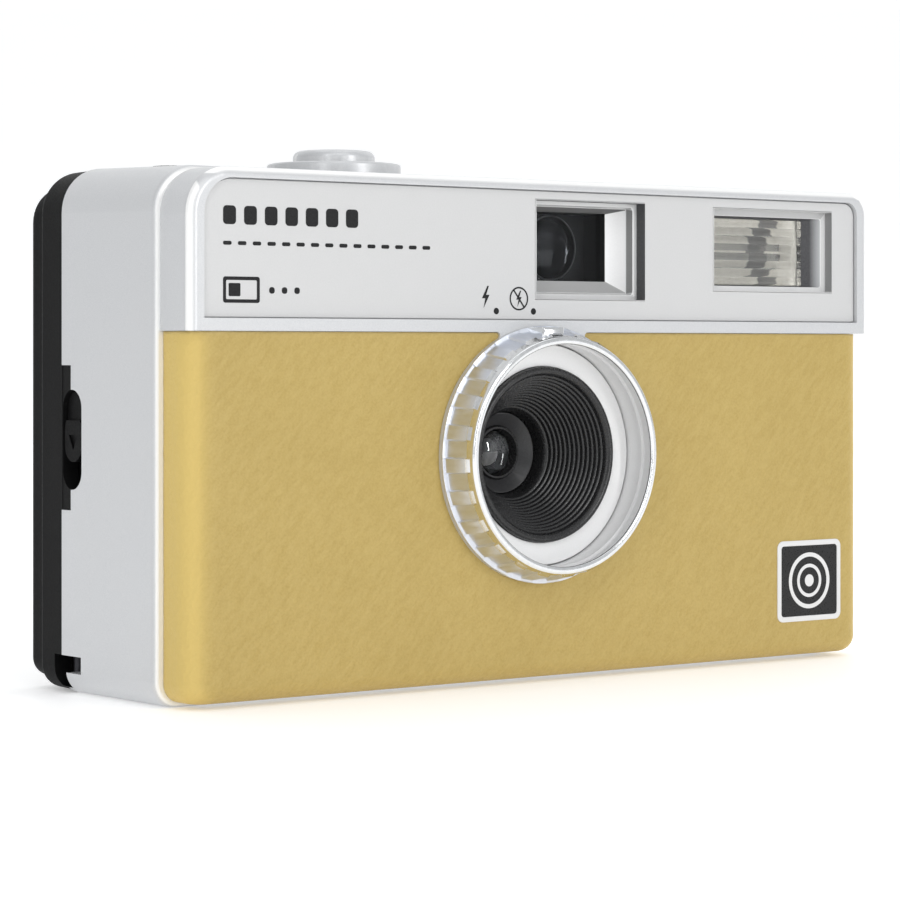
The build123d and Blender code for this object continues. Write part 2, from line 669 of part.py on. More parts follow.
def rear_frame():
    """The black moulding behind the shell: rim, top wall over the film, latch tab and hinge knuckles."""
    front = facing(SEAM_Y) * outline((-54.9, 54.9, 0.1, 62.7), (5.4, 4.0, 3.0, 3.0))
    rear = facing(GROOVE_Y) * outline((-54.8, 54.8, 0.2, 62.6), (5.3, 4.0, 3.0, 3.0))
    frame = loft([front, rear], ruled=True)
    frame = fillet(frame.edges().group_by(Axis.Y)[-1], 1.0)
    inner_bounds = (-INNER_HALF, INNER_HALF, INNER_BOTTOM + 0.4, INNER_TOP)
    frame -= panel(inner_bounds, (SEAM_Y - 1, GROOVE_Y + 1), (3.4, 2, 1, 1))
    frame += block((-52.85, 52.85), (30.9, 32.0), (54.2, INNER_TOP + 0.1))
    frame -= block((SPOOL[0] - 9.2, SPOOL[0] + 9.2), (30, 33), (49.4, 55.6))
    frame -= panel(grown(EYEPIECE, 0.05), (30, 33), (1, 1, 1, 1))
    side = (-54.85, -INNER_HALF)
    frame += block(side, (LATCH_TAB_Y + 0.05, SEAM_Y + 0.1), (LATCH_TAB_Z[0] + 0.05, LATCH_TAB_Z[1] - 0.05))
    frame -= stadium(SLOT_Y, SLOT_Z, (-57, -50))
    frame -= block((-57, -51), (SEAM_Y - 1, 28.2), (0.7, 4.64))
    frame += strap_pocket()
    frame -= rod("Z", WINDER_R + 0.3, (-1, 3), CASSETTE)
    for low, high in (KNUCKLE_LOW, KNUCKLE_HIGH):
        frame += block((HINGE[0] - 1.2, HINGE[0] + 1.2), (31.5, HINGE[1]), (low, high))
        frame += rod("Z", HINGE_R, (low, high), HINGE)
        frame -= rod("Z", HINGE_PIN_R + 0.01, (low - 0.5, high + 0.5), HINGE)
    return frame


def strap_pocket():
    """The walls behind the strap bar, inside the corner."""
    pocket = block((-51.0, -50.2), (25.0, 28.9), (2.25, 5.4))
    pocket += block((-INNER_HALF - 0.05, -50.2), (26.4, 28.9), (4.7, 5.4))
    return pocket + block((-INNER_HALF - 0.05, -50.2), (28.2, 28.9), (2.15, 5.4))


def strap_bar():
    """The steel bar across the corner that a wrist strap's cord loops over."""
    return rod("Z", 0.7, (INNER_BOTTOM + 0.45, 4.7), (-52.2, 27.0))


def back_door():
    """The hinged back, hollowed to clear the film, with its hook for the latch."""
    bounds = (-DOOR_HALF, HINGE[0] - 1.8, DOOR_BOTTOM, DOOR_TOP)
    door = panel(bounds, (DOOR_Y, BACK_Y), (4.5, 0, 2.2, 0))
    door = fillet(door.edges().group_by(Axis.Y)[-1], 1.5)
    hollow = (-DOOR_HALF + 2.8, HINGE[0] - 4, DOOR_BOTTOM + 3, 49.0)
    door -= panel(hollow, (DOOR_Y - 1, BACK_Y - DOOR_WALL), (1, 1, 1, 1))
    eyepiece = grown(EYEPIECE, 0.6)
    door -= panel(eyepiece, (DOOR_Y - 1, BACK_Y + 1), (1.4, 1.4, 1.4, 1.4))
    wheel_half = (WHEEL_R**2 - (DOOR_Y - SPOOL[1]) ** 2) ** 0.5 + 0.8
    door -= block((SPOOL[0] - wheel_half, SPOOL[0] + wheel_half), (DOOR_Y - 1, BACK_Y + 1), (49.4, 55.6))
    low, high = KNUCKLE_LOW[1] + GAP, KNUCKLE_HIGH[0] - GAP
    door += block((HINGE[0] - 2, HINGE[0]), (HINGE[1] - 1.5, HINGE[1] + 1.5), (low, high))
    door += rod("Z", HINGE_R, (low, high), HINGE)
    door -= rod("Z", HINGE_PIN_R + 0.05, (0, 62), HINGE)
    door += block((-51.6, -50.4), (27.5, DOOR_Y + 1), (39.4, 42.0))
    door += block((-51.6, -50.4), (27.5, 28.9), (36.7, 39.5))
    return door + block((-51.6, -47.5), (DOOR_Y, BACK_Y - 0.5), (38.8, 42.6))


def door_seals():
    """Strips of foam that keep light out at the hinge and latch sides."""
    strips = [block((x, x + 0.9), (DOOR_Y - 0.9, DOOR_Y - 0.02), (8, 30)) for x in (-52.6, 48.8)]
    return together(strips)


def pressure_plate():
    """The polished plate that holds the film flat against the gate's rails."""
    bounds = (LENS[0] - 15, LENS[0] + 15, LENS[1] - 19, LENS[1] + 19)
    plate = panel(bounds, (FILM_Y + 0.35, FILM_Y + 0.85), (2, 2, 2, 2))
    return plate


def pressure_spring():
    """The bowed leaf between the door and the pressure plate."""
    low_y, high_y = FILM_Y + 0.87, BACK_Y - DOOR_WALL - 0.02
    points = [(LENS[0] - 12, low_y), (LENS[0] - 4, high_y - 0.3), (LENS[0] + 4, high_y - 0.3), (LENS[0] + 12, low_y)]
    leaf = None
    for start, end in zip(points, points[1:]):
        face = make_face(Polyline(start, end, (end[0], end[1] + 0.28), (start[0], start[1] + 0.28), close=True))
        span = extrude(Plane.XY.offset(LENS[1] - 4) * face, amount=8)
        leaf = span if leaf is None else leaf + span
    return leaf


def hinge_pin():
    return rod("Z", HINGE_PIN_R, (KNUCKLE_LOW[0] + 0.2, KNUCKLE_HIGH[1] - 0.2), HINGE)


def latch_slide():
    """The sliding latch: a pointed thumb pad in the side slot, its plate behind the wall, and its finger."""
    pad_y = (SLOT_Y[0] + 0.2, SLOT_Y[1] - 0.2)
    slide = stadium(pad_y, (27.7, SLOT_Z[1] - 0.15), (-54.3, -52.5))
    slide += stadium(pad_y, (27.7, 33.4), (-54.75, -54.2)) & block((-56, -50), (20, 28), (27, 32.65))
    slide -= Pos(-54.75, 24.02, 30.3) * Rot(0, 90, 0) * extrude(RegularPolygon(1.2, 3), amount=0.25, both=True)
    slide += block((-52.6, -51.8), (20.9, 29.0), (24.2, 40.5))
    slide -= block((-52.7, -51.7), (27.3, 29.1), (36.4, 40.6))
    return slide + block((-52.6, -50.8), (29.1, 30.6), (33.0, 36.4)) + block((-52.6, -51.8), (28.9, 30.6), (33, 36.4))


def latch_spring():
    return coil(1.0, 0.2, 7, (12.0, 24.0), (-51.6, 22.6))


def rewind_disc():
    """The winder in the bottom: a dished disc, its shaft, and the fork that turns the cassette's spool."""
    disc = rod("Z", WINDER_R, (0.2, 2.6), CASSETTE)
    disc -= rod("Z", WINDER_R - 0.8, (-1, 1.4), CASSETTE)
    disc += rod("Z", 2.5, (2.5, 5.2), CASSETTE)
    x, y = CASSETTE
    for side in (-1, 1):
        disc += block((x - 4.4, x - 2.2), (y + side * 1.75, y + side * 2.75), (0.4, 1.5))
        disc += block((x - 0.6, x + 0.6), (y + side * 1.2, y + side * 2.4), (5.1, 9.0))
    return disc - rod("Y", 0.4, (y - 4, y + 4), (x - 3.3, 0.85))


def rewind_crank():
    """The arm that folds out of the disc, with its small turning knob's stub."""
    x, y = CASSETTE
    arm = block((x - 3.3, x + 7.2), (y - 1.65, y + 1.65), (0.4, 1.3))
    arm += rod("Z", 1.65, (0.4, 1.3), (x + 7.2, y))
    arm += rod("Y", 0.45, (y - 1.65, y + 1.65), (x - 3.3, 0.85))
    arm += rod("Y", 0.35, (y - 2.7, y + 2.7), (x - 3.3, 0.85))
    return arm


PIECES = (
    body_shell, front_cover, leatherette, face_plate, badge,
    finder_bezel, finder_front_lens, finder_tube, finder_eye_lens, eyepiece_frame,
    flash_bezel, flash_lens, flash_reflector, xenon_tube, flash_capacitor, flash_board, trigger_transformer,
    selector_ring, ring_retainer, lens_bezel, lens_cone, lens_barrel, front_element, rear_element,
    shutter_plate, shutter_blade, shutter_spring, shutter_collar, shutter_button, button_spring,
    cassette_chamber, gate_section, takeup_chamber, takeup_spool, advance_wheel, sprocket_shaft, counter_dial, counter_window,
    rear_frame, strap_bar, back_door, door_seals, pressure_plate, pressure_spring, hinge_pin,
    latch_slide, latch_spring, rewind_disc, rewind_crank, release_button, release_spring,
    battery_holder, battery_contacts, battery_door, case_screws,
)

os.makedirs("parts", exist_ok=True)
for make_piece in PIECES:
    export_step(TO_ORIGIN * make_piece(), f"parts/{make_piece.__name__}.step")
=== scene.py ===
import json
from math import cos, hypot, pi, radians, sin, sqrt, tau

import bmesh
import bpy
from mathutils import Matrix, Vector, noise


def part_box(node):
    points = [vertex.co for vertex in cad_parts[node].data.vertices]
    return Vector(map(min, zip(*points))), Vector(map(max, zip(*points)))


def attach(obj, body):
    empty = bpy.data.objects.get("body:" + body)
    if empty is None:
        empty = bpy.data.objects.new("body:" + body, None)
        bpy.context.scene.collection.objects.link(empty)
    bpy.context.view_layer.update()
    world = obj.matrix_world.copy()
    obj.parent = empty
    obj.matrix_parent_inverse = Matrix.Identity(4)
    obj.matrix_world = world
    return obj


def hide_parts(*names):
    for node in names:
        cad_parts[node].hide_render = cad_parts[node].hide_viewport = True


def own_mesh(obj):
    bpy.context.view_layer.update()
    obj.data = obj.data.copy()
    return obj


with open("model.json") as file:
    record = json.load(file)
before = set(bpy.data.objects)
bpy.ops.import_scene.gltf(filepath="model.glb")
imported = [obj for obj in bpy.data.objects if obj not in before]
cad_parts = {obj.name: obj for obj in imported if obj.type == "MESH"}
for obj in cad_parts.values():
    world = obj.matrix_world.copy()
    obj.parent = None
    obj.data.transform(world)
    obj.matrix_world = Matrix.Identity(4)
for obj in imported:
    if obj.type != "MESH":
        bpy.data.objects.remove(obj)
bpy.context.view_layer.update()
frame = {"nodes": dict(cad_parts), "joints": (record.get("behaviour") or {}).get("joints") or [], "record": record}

# A compact half frame film camera. The sizes below are in millimetres, and MM turns them into metres.
# RIM_Y is the depth of the silver cap's front rim, RING_DEPTH behind the front of the selector ring.
# The depths of the pieces made here are measured from it, larger further back.
MM = 0.001
RING_DEPTH = 4.8 * MM
RIM_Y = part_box("selector_ring")[0][1] + RING_DEPTH
NODES = frame["nodes"]


def middle(node):
    """The centre of a node's box, in metres."""
    low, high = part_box(node)
    return Vector([(a + b) / 2 for a, b in zip(low, high)])


def edges(node):
    """A node's left, right, bottom and top in millimetres."""
    low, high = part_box(node)
    return low[0] / MM, high[0] / MM, low[2] / MM, high[2] / MM


LENS = middle("lens_bezel")
LENS_X, LENS_Z = LENS[0] / MM, LENS[2] / MM
SKIN = edges("leatherette")
FINDER = edges("finder_bezel")
FLASH = edges("flash_bezel")
PLATE = edges("face_plate")
BADGE = edges("badge")


# ---------------------------------------------------------------- materials

class Surface:
    """A node material being built: helpers that add a node and link it."""

    def __init__(self, name, colour, roughness, metallic=0.0):
        self.material = bpy.data.materials.new(name)
        self.material.use_nodes = True
        self.tree = self.material.node_tree
        self.shader = self.tree.nodes["Principled BSDF"]
        self.shader.inputs["Base Color"].default_value = (*colour, 1)
        self.shader.inputs["Roughness"].default_value = roughness
        self.shader.inputs["Metallic"].default_value = metallic
        self.place = self.node("ShaderNodeTexCoord").outputs["Object"]

    def feed(self, socket, value):
        """Links another node's output to a socket, or sets the socket to a plain value."""
        if hasattr(value, "is_output"):
            self.tree.links.new(value, socket)
        else:
            socket.default_value = value

    def node(self, kind, **inputs):
        """A new node with its inputs fed by name."""
        made = self.tree.nodes.new(kind)
        for key, value in inputs.items():
            self.feed(made.inputs[key.replace("_", " ")], value)
        return made

    def link(self, source, target):
        """Links a node's output to one of the shader's inputs."""
        self.tree.links.new(source, self.shader.inputs[target])

    def noise(self, per_mm, detail=3.0, roughness=0.55, stretch=None):
        """Noise with about per_mm features in each millimetre."""
        place = self.place
        if stretch:
            place = self.node("ShaderNodeMapping", Vector=place, Scale=stretch).outputs["Vector"]
        made = self.node("ShaderNodeTexNoise", Vector=place, Scale=per_mm / MM, Detail=detail)
        made.inputs["Roughness"].default_value = roughness
        return made.outputs["Fac"]

    def streaks(self, per_mm, length, degrees):
        """Noise drawn out to length times its width, rising at degrees as seen from the front."""
        turned = self.node("ShaderNodeMapping", Vector=self.place, Scale=(length, 1, 1))
        turned.inputs["Rotation"].default_value = (0, -radians(degrees), 0)
        turned.vector_type = "TEXTURE"
        made = self.node("ShaderNodeTexNoise", Vector=turned.outputs["Vector"], Scale=per_mm / MM, Detail=3.0)
        return made.outputs["Fac"]

    def cells(self, per_mm):
        """Distance to the middle of the nearest cell, with about per_mm cells in each millimetre."""
        return self.node("ShaderNodeTexVoronoi", Vector=self.place, Scale=per_mm / MM).outputs["Distance"]

    def between(self, value, low, high, new_low=0.0, new_high=1.0):
        """Spreads the range from low to high over the new range, and holds it there beyond."""
        made = self.node("ShaderNodeMapRange", Value=value)
        for key, number in (("From Min", low), ("From Max", high), ("To Min", new_low), ("To Max", new_high)):
            made.inputs[key].default_value = number
        return made.outputs["Result"]

    def maths(self, operation, first, second=0.0):
        """The result of a sum on one or two values."""
        made = self.tree.nodes.new("ShaderNodeMath")
        made.operation = operation
        for socket, value in zip(made.inputs, (first, second)):
            self.feed(socket, value)
        return made.outputs["Value"]

    def mix(self, amount, first, second):
        """A colour between two colours: the first where amount is 0, the second where it is 1."""
        made = self.tree.nodes.new("ShaderNodeMix")
        made.data_type = "RGBA"
        factor, colour_a, colour_b = (made.inputs[index] for index in (0, 6, 7))
        for socket, value in ((factor, amount), (colour_a, first), (colour_b, second)):
            self.feed(socket, (*value, 1) if isinstance(value, tuple) else value)
        return made.outputs[2]

    def bump(self, height, strength, distance):
        """Adds relief; distance is in millimetres."""
        made = self.node("ShaderNodeBump", Height=height, Strength=strength, Distance=distance * MM)
        if self.shader.inputs["Normal"].is_linked:
            earlier = self.shader.inputs["Normal"].links[0].from_socket
            self.tree.links.new(earlier, made.inputs["Normal"])
        self.link(made.outputs["Normal"], "Normal")

    def along(self, axis):
        """The distance along an axis, in metres."""
        return self.node("ShaderNodeSeparateXYZ", Vector=self.place).outputs[axis]

    def beyond(self, axis, distance, soft=0.1):
        """1 where the point is further out along an axis than distance, in millimetres, on either side."""
        out = self.maths("ABSOLUTE", self.along(axis))
        return self.between(out, (distance - soft) * MM, (distance + soft) * MM)

    def depth_band(self, start, end, soft=0.08):
        """1 between two depths behind the front rim plane, in millimetres."""
        depth = self.along("Y")
        after = self.between(depth, RIM_Y + (start - soft) * MM, RIM_Y + (start + soft) * MM)
        before = self.between(depth, RIM_Y + (end + soft) * MM, RIM_Y + (end - soft) * MM)
        return self.maths("MULTIPLY", after, before)

    def edge_wear(self):
        """1 on sharp outward edges and 0 on flats."""
        pointed = self.node("ShaderNodeNewGeometry").outputs["Pointiness"]
        return self.between(pointed, 0.53, 0.6)


# Depths between which the rounded front rims of the shell and the cap get a painted highlight, near white.
SHELL_RIM_HIGHLIGHT = (5.95, 6.32)
CAP_RIM_HIGHLIGHT = (0.12, 0.8)


def silver_paint(name, highlight_mask):
    """Satin silver paint with fine flakes, painted near white where the given mask marks an edge highlight."""
    made = Surface(name, (0.6, 0.61, 0.63), 0.4, 0.3)
    made.shader.inputs["Coat Weight"].default_value = 0.25
    made.shader.inputs["Coat Roughness"].default_value = 0.3
    flakes = made.between(made.noise(9.0, 2.0), 0.3, 0.7)
    cloud = made.between(made.noise(0.12, 2.0), 0.3, 0.7)
    colour = made.mix(flakes, (0.575, 0.585, 0.60), (0.655, 0.66, 0.67))
    colour = made.mix(made.maths("MULTIPLY", cloud, 0.35), colour, (0.625, 0.63, 0.635))
    # Painted highlight: the base colour turns near white where the mask marks a bright edge.
    made.link(made.mix(highlight_mask(made), colour, (0.99, 0.99, 0.98)), "Base Color")
    made.link(made.between(made.noise(1.1, 4.0), 0.3, 0.7, 0.33, 0.42), "Roughness")
    made.bump(made.noise(6.0, 2.0), 0.25, 0.008)
    made.bump(made.noise(0.5, 2.0), 0.2, 0.05)
    return made.material


def sharp_edges(made):
    """Every outward edge, painted half way to a near white highlight."""
    return made.maths("MULTIPLY", made.edge_wear(), 0.5)


def shell_rim(made):
    """The rounded front rim of the shell, where a highlight is painted."""
    return made.depth_band(*SHELL_RIM_HIGHLIGHT)


def cap_rim(made):
    """The rounded front edge of the silver cap, outside the face plate's recess, where a highlight is painted."""
    side, top = PLATE[1] + 0.75, PLATE[3] + 0.55
    outside = made.maths("MAXIMUM", made.beyond("X", side), made.beyond("Z", top))
    return made.maths("MULTIPLY", made.depth_band(*CAP_RIM_HIGHLIGHT), outside)


def plate_paint(name="plate_paint", shade=0.605):
    """Smooth pale satin paint."""
    made = Surface(name, (shade, shade, shade), 0.38, 0.1)
    grain = made.between(made.noise(5.0, 3.0), 0.3, 0.7)
    dull, bright = (shade * share for share in (0.98, 1.02))
    made.link(made.mix(grain, (dull, dull, dull), (bright, bright, bright)), "Base Color")
    made.link(made.between(made.noise(0.8, 3.0), 0.3, 0.7, 0.33, 0.43), "Roughness")
    made.bump(made.noise(7.0, 2.0), 0.2, 0.008)
    return made.material


def leather():
    """Sand coloured leatherette: pebbled cells, fine pores, soft creases, and a painted highlight that makes it
    paler round the corners.
    """
    made = Surface("leather", (0.58, 0.42, 0.15), 0.55)
    patch = made.between(made.noise(0.06, 4.0), 0.3, 0.7)
    pores = made.between(made.noise(3.4, 5.0, 0.6), 0.38, 0.66)
    cells = made.between(made.cells(1.35), 0.15, 0.62)
    streaks = made.between(made.streaks(1.7, 3.0, 48), 0.32, 0.68)
    base = made.mix(patch, (0.455, 0.328, 0.097), (0.490, 0.357, 0.111))
    dark = made.mix(made.maths("MULTIPLY", pores, 0.45), base, (0.38, 0.268, 0.075))
    dark = made.mix(made.maths("MULTIPLY", streaks, 0.3), dark, (0.57, 0.43, 0.16))
    # Painted highlight: the skin is painted paler on its rounded front corners and the sides behind them, where
    # they face the light.
    corner_depths, corner_side = made.depth_band(0.55, 9.0, 0.4), made.beyond("X", SKIN[1] - 2.4, 1.5)
    corner = made.maths("MULTIPLY", corner_depths, corner_side)
    corner_highlight = made.mix(made.maths("MULTIPLY", corner, 0.8), dark, (0.72, 0.53, 0.165))
    worn = made.mix(made.maths("MULTIPLY", made.edge_wear(), 0.5), corner_highlight, (0.78, 0.62, 0.30))
    made.link(worn, "Base Color")
    made.link(made.between(pores, 0.0, 1.0, 0.46, 0.62), "Roughness")
    made.bump(made.noise(0.34, 4.0, 0.6, (1.0, 1.0, 1.5)), 0.35, 0.18)
    made.bump(streaks, 0.55, 0.07)
    made.bump(cells, 0.3, 0.05)
    made.bump(pores, 0.3, 0.035)
    made.shader.inputs["Specular IOR Level"].default_value = 0.4
    return made.material


def black_plastic(name="black_plastic", shade=0.004, roughness=0.5, gloss=0.07):
    """Black plastic from a spark-eroded mould: a fine even grain, with a painted sheen that lightens the edges."""
    made = Surface(name, (shade, shade, shade * 1.05), roughness)
    made.shader.inputs["Specular IOR Level"].default_value = gloss
    grain = made.between(made.noise(4.5, 3.0), 0.3, 0.7)
    lighter = shade * 1.5
    colour = made.mix(grain, (shade, shade, shade * 1.05), (lighter, lighter, lighter * 1.05))
    # Painted sheen: the edges are painted lighter than the flats.
    edge_sheen = shade * 2.5
    colour = made.mix(made.maths("MULTIPLY", made.edge_wear(), 0.5), colour, (edge_sheen, edge_sheen, edge_sheen))
    made.link(colour, "Base Color")
    made.link(made.between(grain, 0, 1, roughness - 0.06, roughness + 0.08), "Roughness")
    made.bump(grain, 0.35, 0.02)
    return made.material


def metal(name, colour, roughness, brushed=None):
    """Bare or plated metal, brushed along one axis if a stretch is given."""
    made = Surface(name, colour, roughness, 1.0)
    marks = made.between(made.noise(1.5, 4.0, 0.6, brushed), 0.3, 0.7)
    darker = tuple(channel * 0.9 for channel in colour)
    made.link(made.mix(marks, darker, colour), "Base Color")
    made.link(made.between(marks, 0, 1, roughness * 0.8, roughness * 1.25), "Roughness")
    made.bump(marks, 0.12, 0.01)
    return made.material


def clear(name, tint=(1, 1, 1), roughness=0.02, ior=1.49):
    """Clear acrylic or glass with faint smears."""
    made = Surface(name, tint, roughness)
    made.shader.inputs["Transmission Weight"].default_value = 1.0
    made.shader.inputs["IOR"].default_value = ior
    made.link(made.between(made.noise(0.4, 4.0), 0.45, 0.75, roughness, roughness + 0.04), "Roughness")
    return made.material


def ink(name, colour, glow=0.0):
    """Printed ink or card, slightly uneven."""
    made = Surface(name, colour, 0.5)
    made.shader.inputs["Specular IOR Level"].default_value = 0.15
    made.shader.inputs["Emission Color"].default_value = (1, 1, 1, 1)
    made.shader.inputs["Emission Strength"].default_value = glow
    spread = made.between(made.noise(8.0, 2.0), 0.3, 0.7)
    lighter = tuple(min(1.0, channel + 0.01) for channel in colour)
    made.link(made.mix(spread, colour, lighter), "Base Color")
    made.bump(spread, 0.15, 0.005)
    return made.material


def frame_shade():
    """The flash frame's sloping wall, with painted shade: dark beside the panel and lighter towards the frame's
    edge.
    """
    made = Surface("frame_shade", (0.2, 0.2, 0.2), 0.4)
    share = made.between(made.along("X"), (FLASH[1] - 2.7) * MM, (FLASH[1] - 1.0) * MM)
    grain = made.between(made.noise(4.5, 3.0), 0.3, 0.7)
    shade = made.mix(share, (0.03, 0.03, 0.034), (0.42, 0.43, 0.44))
    made.link(made.mix(made.maths("MULTIPLY", grain, 0.06), shade, (0.5, 0.5, 0.5)), "Base Color")
    made.bump(grain, 0.3, 0.01)
    return made.material


def reflector_sheet():
    """Bright reflector sheet, with a painted dark reflection in an upright band beside its folded end."""
    made = Surface("reflector_sheet", (0.98, 0.97, 0.93), 0.3, 0.25)
    along = made.along("X")
    start, end = (FLASH[1] - 10.2) * MM, (FLASH[1] - 6.9) * MM
    soft = 0.3 * MM
    after, before = made.between(along, start - soft, start), made.between(along, end, end - soft)
    reflection_band = made.maths("MULTIPLY", after, before)
    marks = made.between(made.noise(1.2, 3.0, 0.6, (1, 1, 3)), 0.35, 0.65)
    bright = made.mix(marks, (0.90, 0.89, 0.84), (1.0, 0.99, 0.95))
    # Painted reflection: a dark grey band across the sheet.
    made.link(made.mix(made.maths("MULTIPLY", reflection_band, 0.95), bright, (0.2, 0.2, 0.21)), "Base Color")
    made.bump(marks, 0.2, 0.02)
    return made.material


def foam():
    """Black open-celled foam."""
    made = Surface("foam", (0.012, 0.012, 0.012), 0.95)
    made.bump(made.cells(3.0), 0.8, 0.15)
    return made.material


def board_lacquer():
    """Green lacquer over copper tracks."""
    made = Surface("board_lacquer", (0.03, 0.18, 0.07), 0.3)
    tracks = made.node("ShaderNodeTexBrick", Vector=made.place, Scale=0.35 / MM)
    made.link(made.mix(tracks.outputs["Fac"], (0.03, 0.17, 0.07), (0.06, 0.28, 0.12)), "Base Color")
    made.bump(tracks.outputs["Fac"], 0.4, 0.03)
    return made.material


SILVER = silver_paint("silver_paint", sharp_edges)
SHELL_SILVER = silver_paint("shell_silver", shell_rim)
CAP_SILVER = silver_paint("cap_silver", cap_rim)
PLATE_PAINT = plate_paint()
LEATHER = leather()
BLACK = black_plastic()
CONE_BLACK = black_plastic("cone_black", 0.012, 0.28, 0.5)
# Painted light: the pale ring is painted much brighter than the face plate to make up for the shade the selector
# ring's lip casts on it.
ANNULUS = plate_paint("annulus_paint", 0.9)
SATIN = plate_paint("ring_inside", 0.74)
# Painted reflection: the ring wall's metal is tinted cool to offset the leather's warm reflection in it.
RING_WALL = metal("ring_wall", (0.76, 0.79, 0.86), 0.4, (1, 0.15, 1))
CHROME = metal("satin_chrome", (0.86, 0.87, 0.88), 0.16)
STEEL = metal("sheet_steel", (0.55, 0.55, 0.56), 0.3, (1, 1, 0.1))
MIRROR = reflector_sheet()
DARK_STEEL = metal("dark_steel", (0.05, 0.05, 0.055), 0.4)
CLEAR = clear("clear_acrylic")
# Painted shade: the lens glass is tinted grey so that it looks as dark as the camera's inside behind it.
GLASS = clear("shade_tinted_glass", (0.5, 0.51, 0.52), 0.0, 1.7)
FINDER_CLEAR = clear("finder_acrylic", (0.8, 0.82, 0.84), 0.0, 1.2)
BLACK_INK = ink("black_ink", (0.014, 0.014, 0.015))
FRAME_GREY = plate_paint("frame_grey", 0.7)
# Painted shade: a darker copy of the frames' grey moulding for side faces that lie in shade.
FRAME_SIDE = plate_paint("frame_side", 0.27)
# Painted highlight: the finder's round lens rim is painted grey against the black tunnel to show the bright arc it
# catches.
LENS_RIM = plate_paint("lens_rim", 0.2)
# Painted shade: a darker copy of the grey moulding for the top face inside the flash frame.
FRAME_TOP = plate_paint("frame_top", 0.5)
TUNNEL_BLACK = plate_paint("tunnel_black", 0.03)
SLEEVE = black_plastic("sleeve", 0.05, 0.3, 0.5)
# Painted light and shade on the frames' inner faces: frame_dark is a near black paint for walls deep in shade,
# frame_light a lighter copy of the grey for bevels that catch the light, and frame_middle and frame_under darker
# copies for the finder funnel's bottom face and its downward facing top face.
FRAME_DARK = black_plastic("frame_dark", 0.05, 0.35, 0.5)
FRAME_LIGHT = plate_paint("frame_light", 0.8)
FRAME_MIDDLE = plate_paint("frame_middle", 0.42)
FRAME_UNDER = plate_paint("frame_under", 0.125)
FRAME_SHADE = frame_shade()
CELL_GREY = black_plastic("cell_grey", 0.035, 0.35, 0.5)
# Painted shade: the finder's round lens is tinted dark grey so that it looks as dark as the tunnel behind it.
SHADE_TINTED_CLEAR = clear("shade_tinted_acrylic", (0.45, 0.45, 0.47))
FLASH_CLEAR = clear("flash_acrylic", (1.0, 0.99, 0.96), 0.06)
BADGE_WHITE = ink("badge_white", (0.74, 0.74, 0.74))
BADGE_BLACK = black_plastic("badge_black", 0.008, 0.3, 0.3)
DIAL_WHITE = ink("dial_white", (0.85, 0.85, 0.83))
FOAM = foam()
BOARD = board_lacquer()
FLOOR_WHITE = ink("floor_white", (0.93, 0.93, 0.93), 0.31)


# ---------------------------------------------------------------- mesh helpers

def finish_piece(name, bm, paint, body="camera_body", replaces=(), smooth_deg=35):
    """Turns a bmesh, drawn in millimetres from the front rim plane, into a piece that rides on a body."""
    bmesh.ops.remove_doubles(bm, verts=bm.verts, dist=1e-5)
    bmesh.ops.recalc_face_normals(bm, faces=bm.faces)
    mesh = bpy.data.meshes.new(name)
    for vert in bm.verts:
        vert.co = (vert.co.x * MM, RIM_Y + vert.co.y * MM, vert.co.z * MM)
    bm.to_mesh(mesh)
    bm.free()
    mesh.materials.append(paint)
    piece = bpy.data.objects.new(name, mesh)
    bpy.context.scene.collection.objects.link(piece)
    smooth(piece, smooth_deg)
    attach(piece, body)
    if replaces:
        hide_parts(*replaces)
    return piece


def smooth(piece, degrees=35):
    """Shades smooth, but keeps edges sharper than degrees crisp."""
    piece.data.shade_smooth()
    piece.data.set_sharp_from_angle(angle=radians(degrees))


def thicken(piece, thickness, side):
    """Gives an open sheet its thickness, inwards for a side of -1 and outwards for 1."""
    thick = piece.modifiers.new("thickness", "SOLIDIFY")
    thick.thickness = thickness * MM
    thick.offset = side


def lens_radius(face):
    """How far the middle of a finished piece's face is from the lens axis, in millimetres."""
    return hypot(face.center.x / MM - LENS_X, face.center.z / MM - LENS_Z)


def depth_of(face):
    """How far the middle of a finished piece's face is behind the front rim plane, in millimetres."""
    return (face.center.y - RIM_Y) / MM


def lathe(bm, profile, steps=192, shape=None):
    """Turns a closed profile of (radius, depth) about the lens axis.

    shape(radius, depth, angle) may move a radius.
    """
    rings = []
    for step in range(steps):
        angle = tau * step / steps
        ring = []
        for radius, depth in profile:
            out = shape(radius, depth, angle) if shape else radius
            ring.append(bm.verts.new((LENS_X + out * cos(angle), depth, LENS_Z + out * sin(angle))))
        rings.append(ring)
    count = len(profile)
    for first, second in zip(rings, rings[1:] + rings[:1]):
        for index in range(count):
            after = (index + 1) % count
            bm.faces.new((first[index], first[after], second[after], second[index]))


def disc_lathe(bm, profile, centre=(LENS_X, LENS_Z)):
    """A solid turned about an axis along Y, from a profile that starts and ends on the axis."""
    steps = 96

    def spot(radius, depth, angle):
        return centre[0] + radius * cos(angle), depth, centre[1] + radius * sin(angle)

    first = bm.verts.new(spot(0, profile[0][1], 0))
    last = bm.verts.new(spot(0, profile[-1][1], 0))
    rings = [[bm.verts.new(spot(r, y, tau * s / steps)) for s in range(steps)] for r, y in profile[1:-1]]
    for index in range(steps):
        after = (index + 1) % steps
        bm.faces.new((first, rings[0][after], rings[0][index]))
        bm.faces.new((last, rings[-1][index], rings[-1][after]))
        for inner, outer in zip(rings, rings[1:]):
            bm.faces.new((inner[index], inner[after], outer[after], outer[index]))


def arc(centre, radius, start_deg, end_deg, steps=6):
    """Points of an arc, ends included."""
    angles = [radians(start_deg + (end_deg - start_deg) * step / steps) for step in range(steps + 1)]
    return [(centre[0] + radius * cos(a), centre[1] + radius * sin(a)) for a in angles]


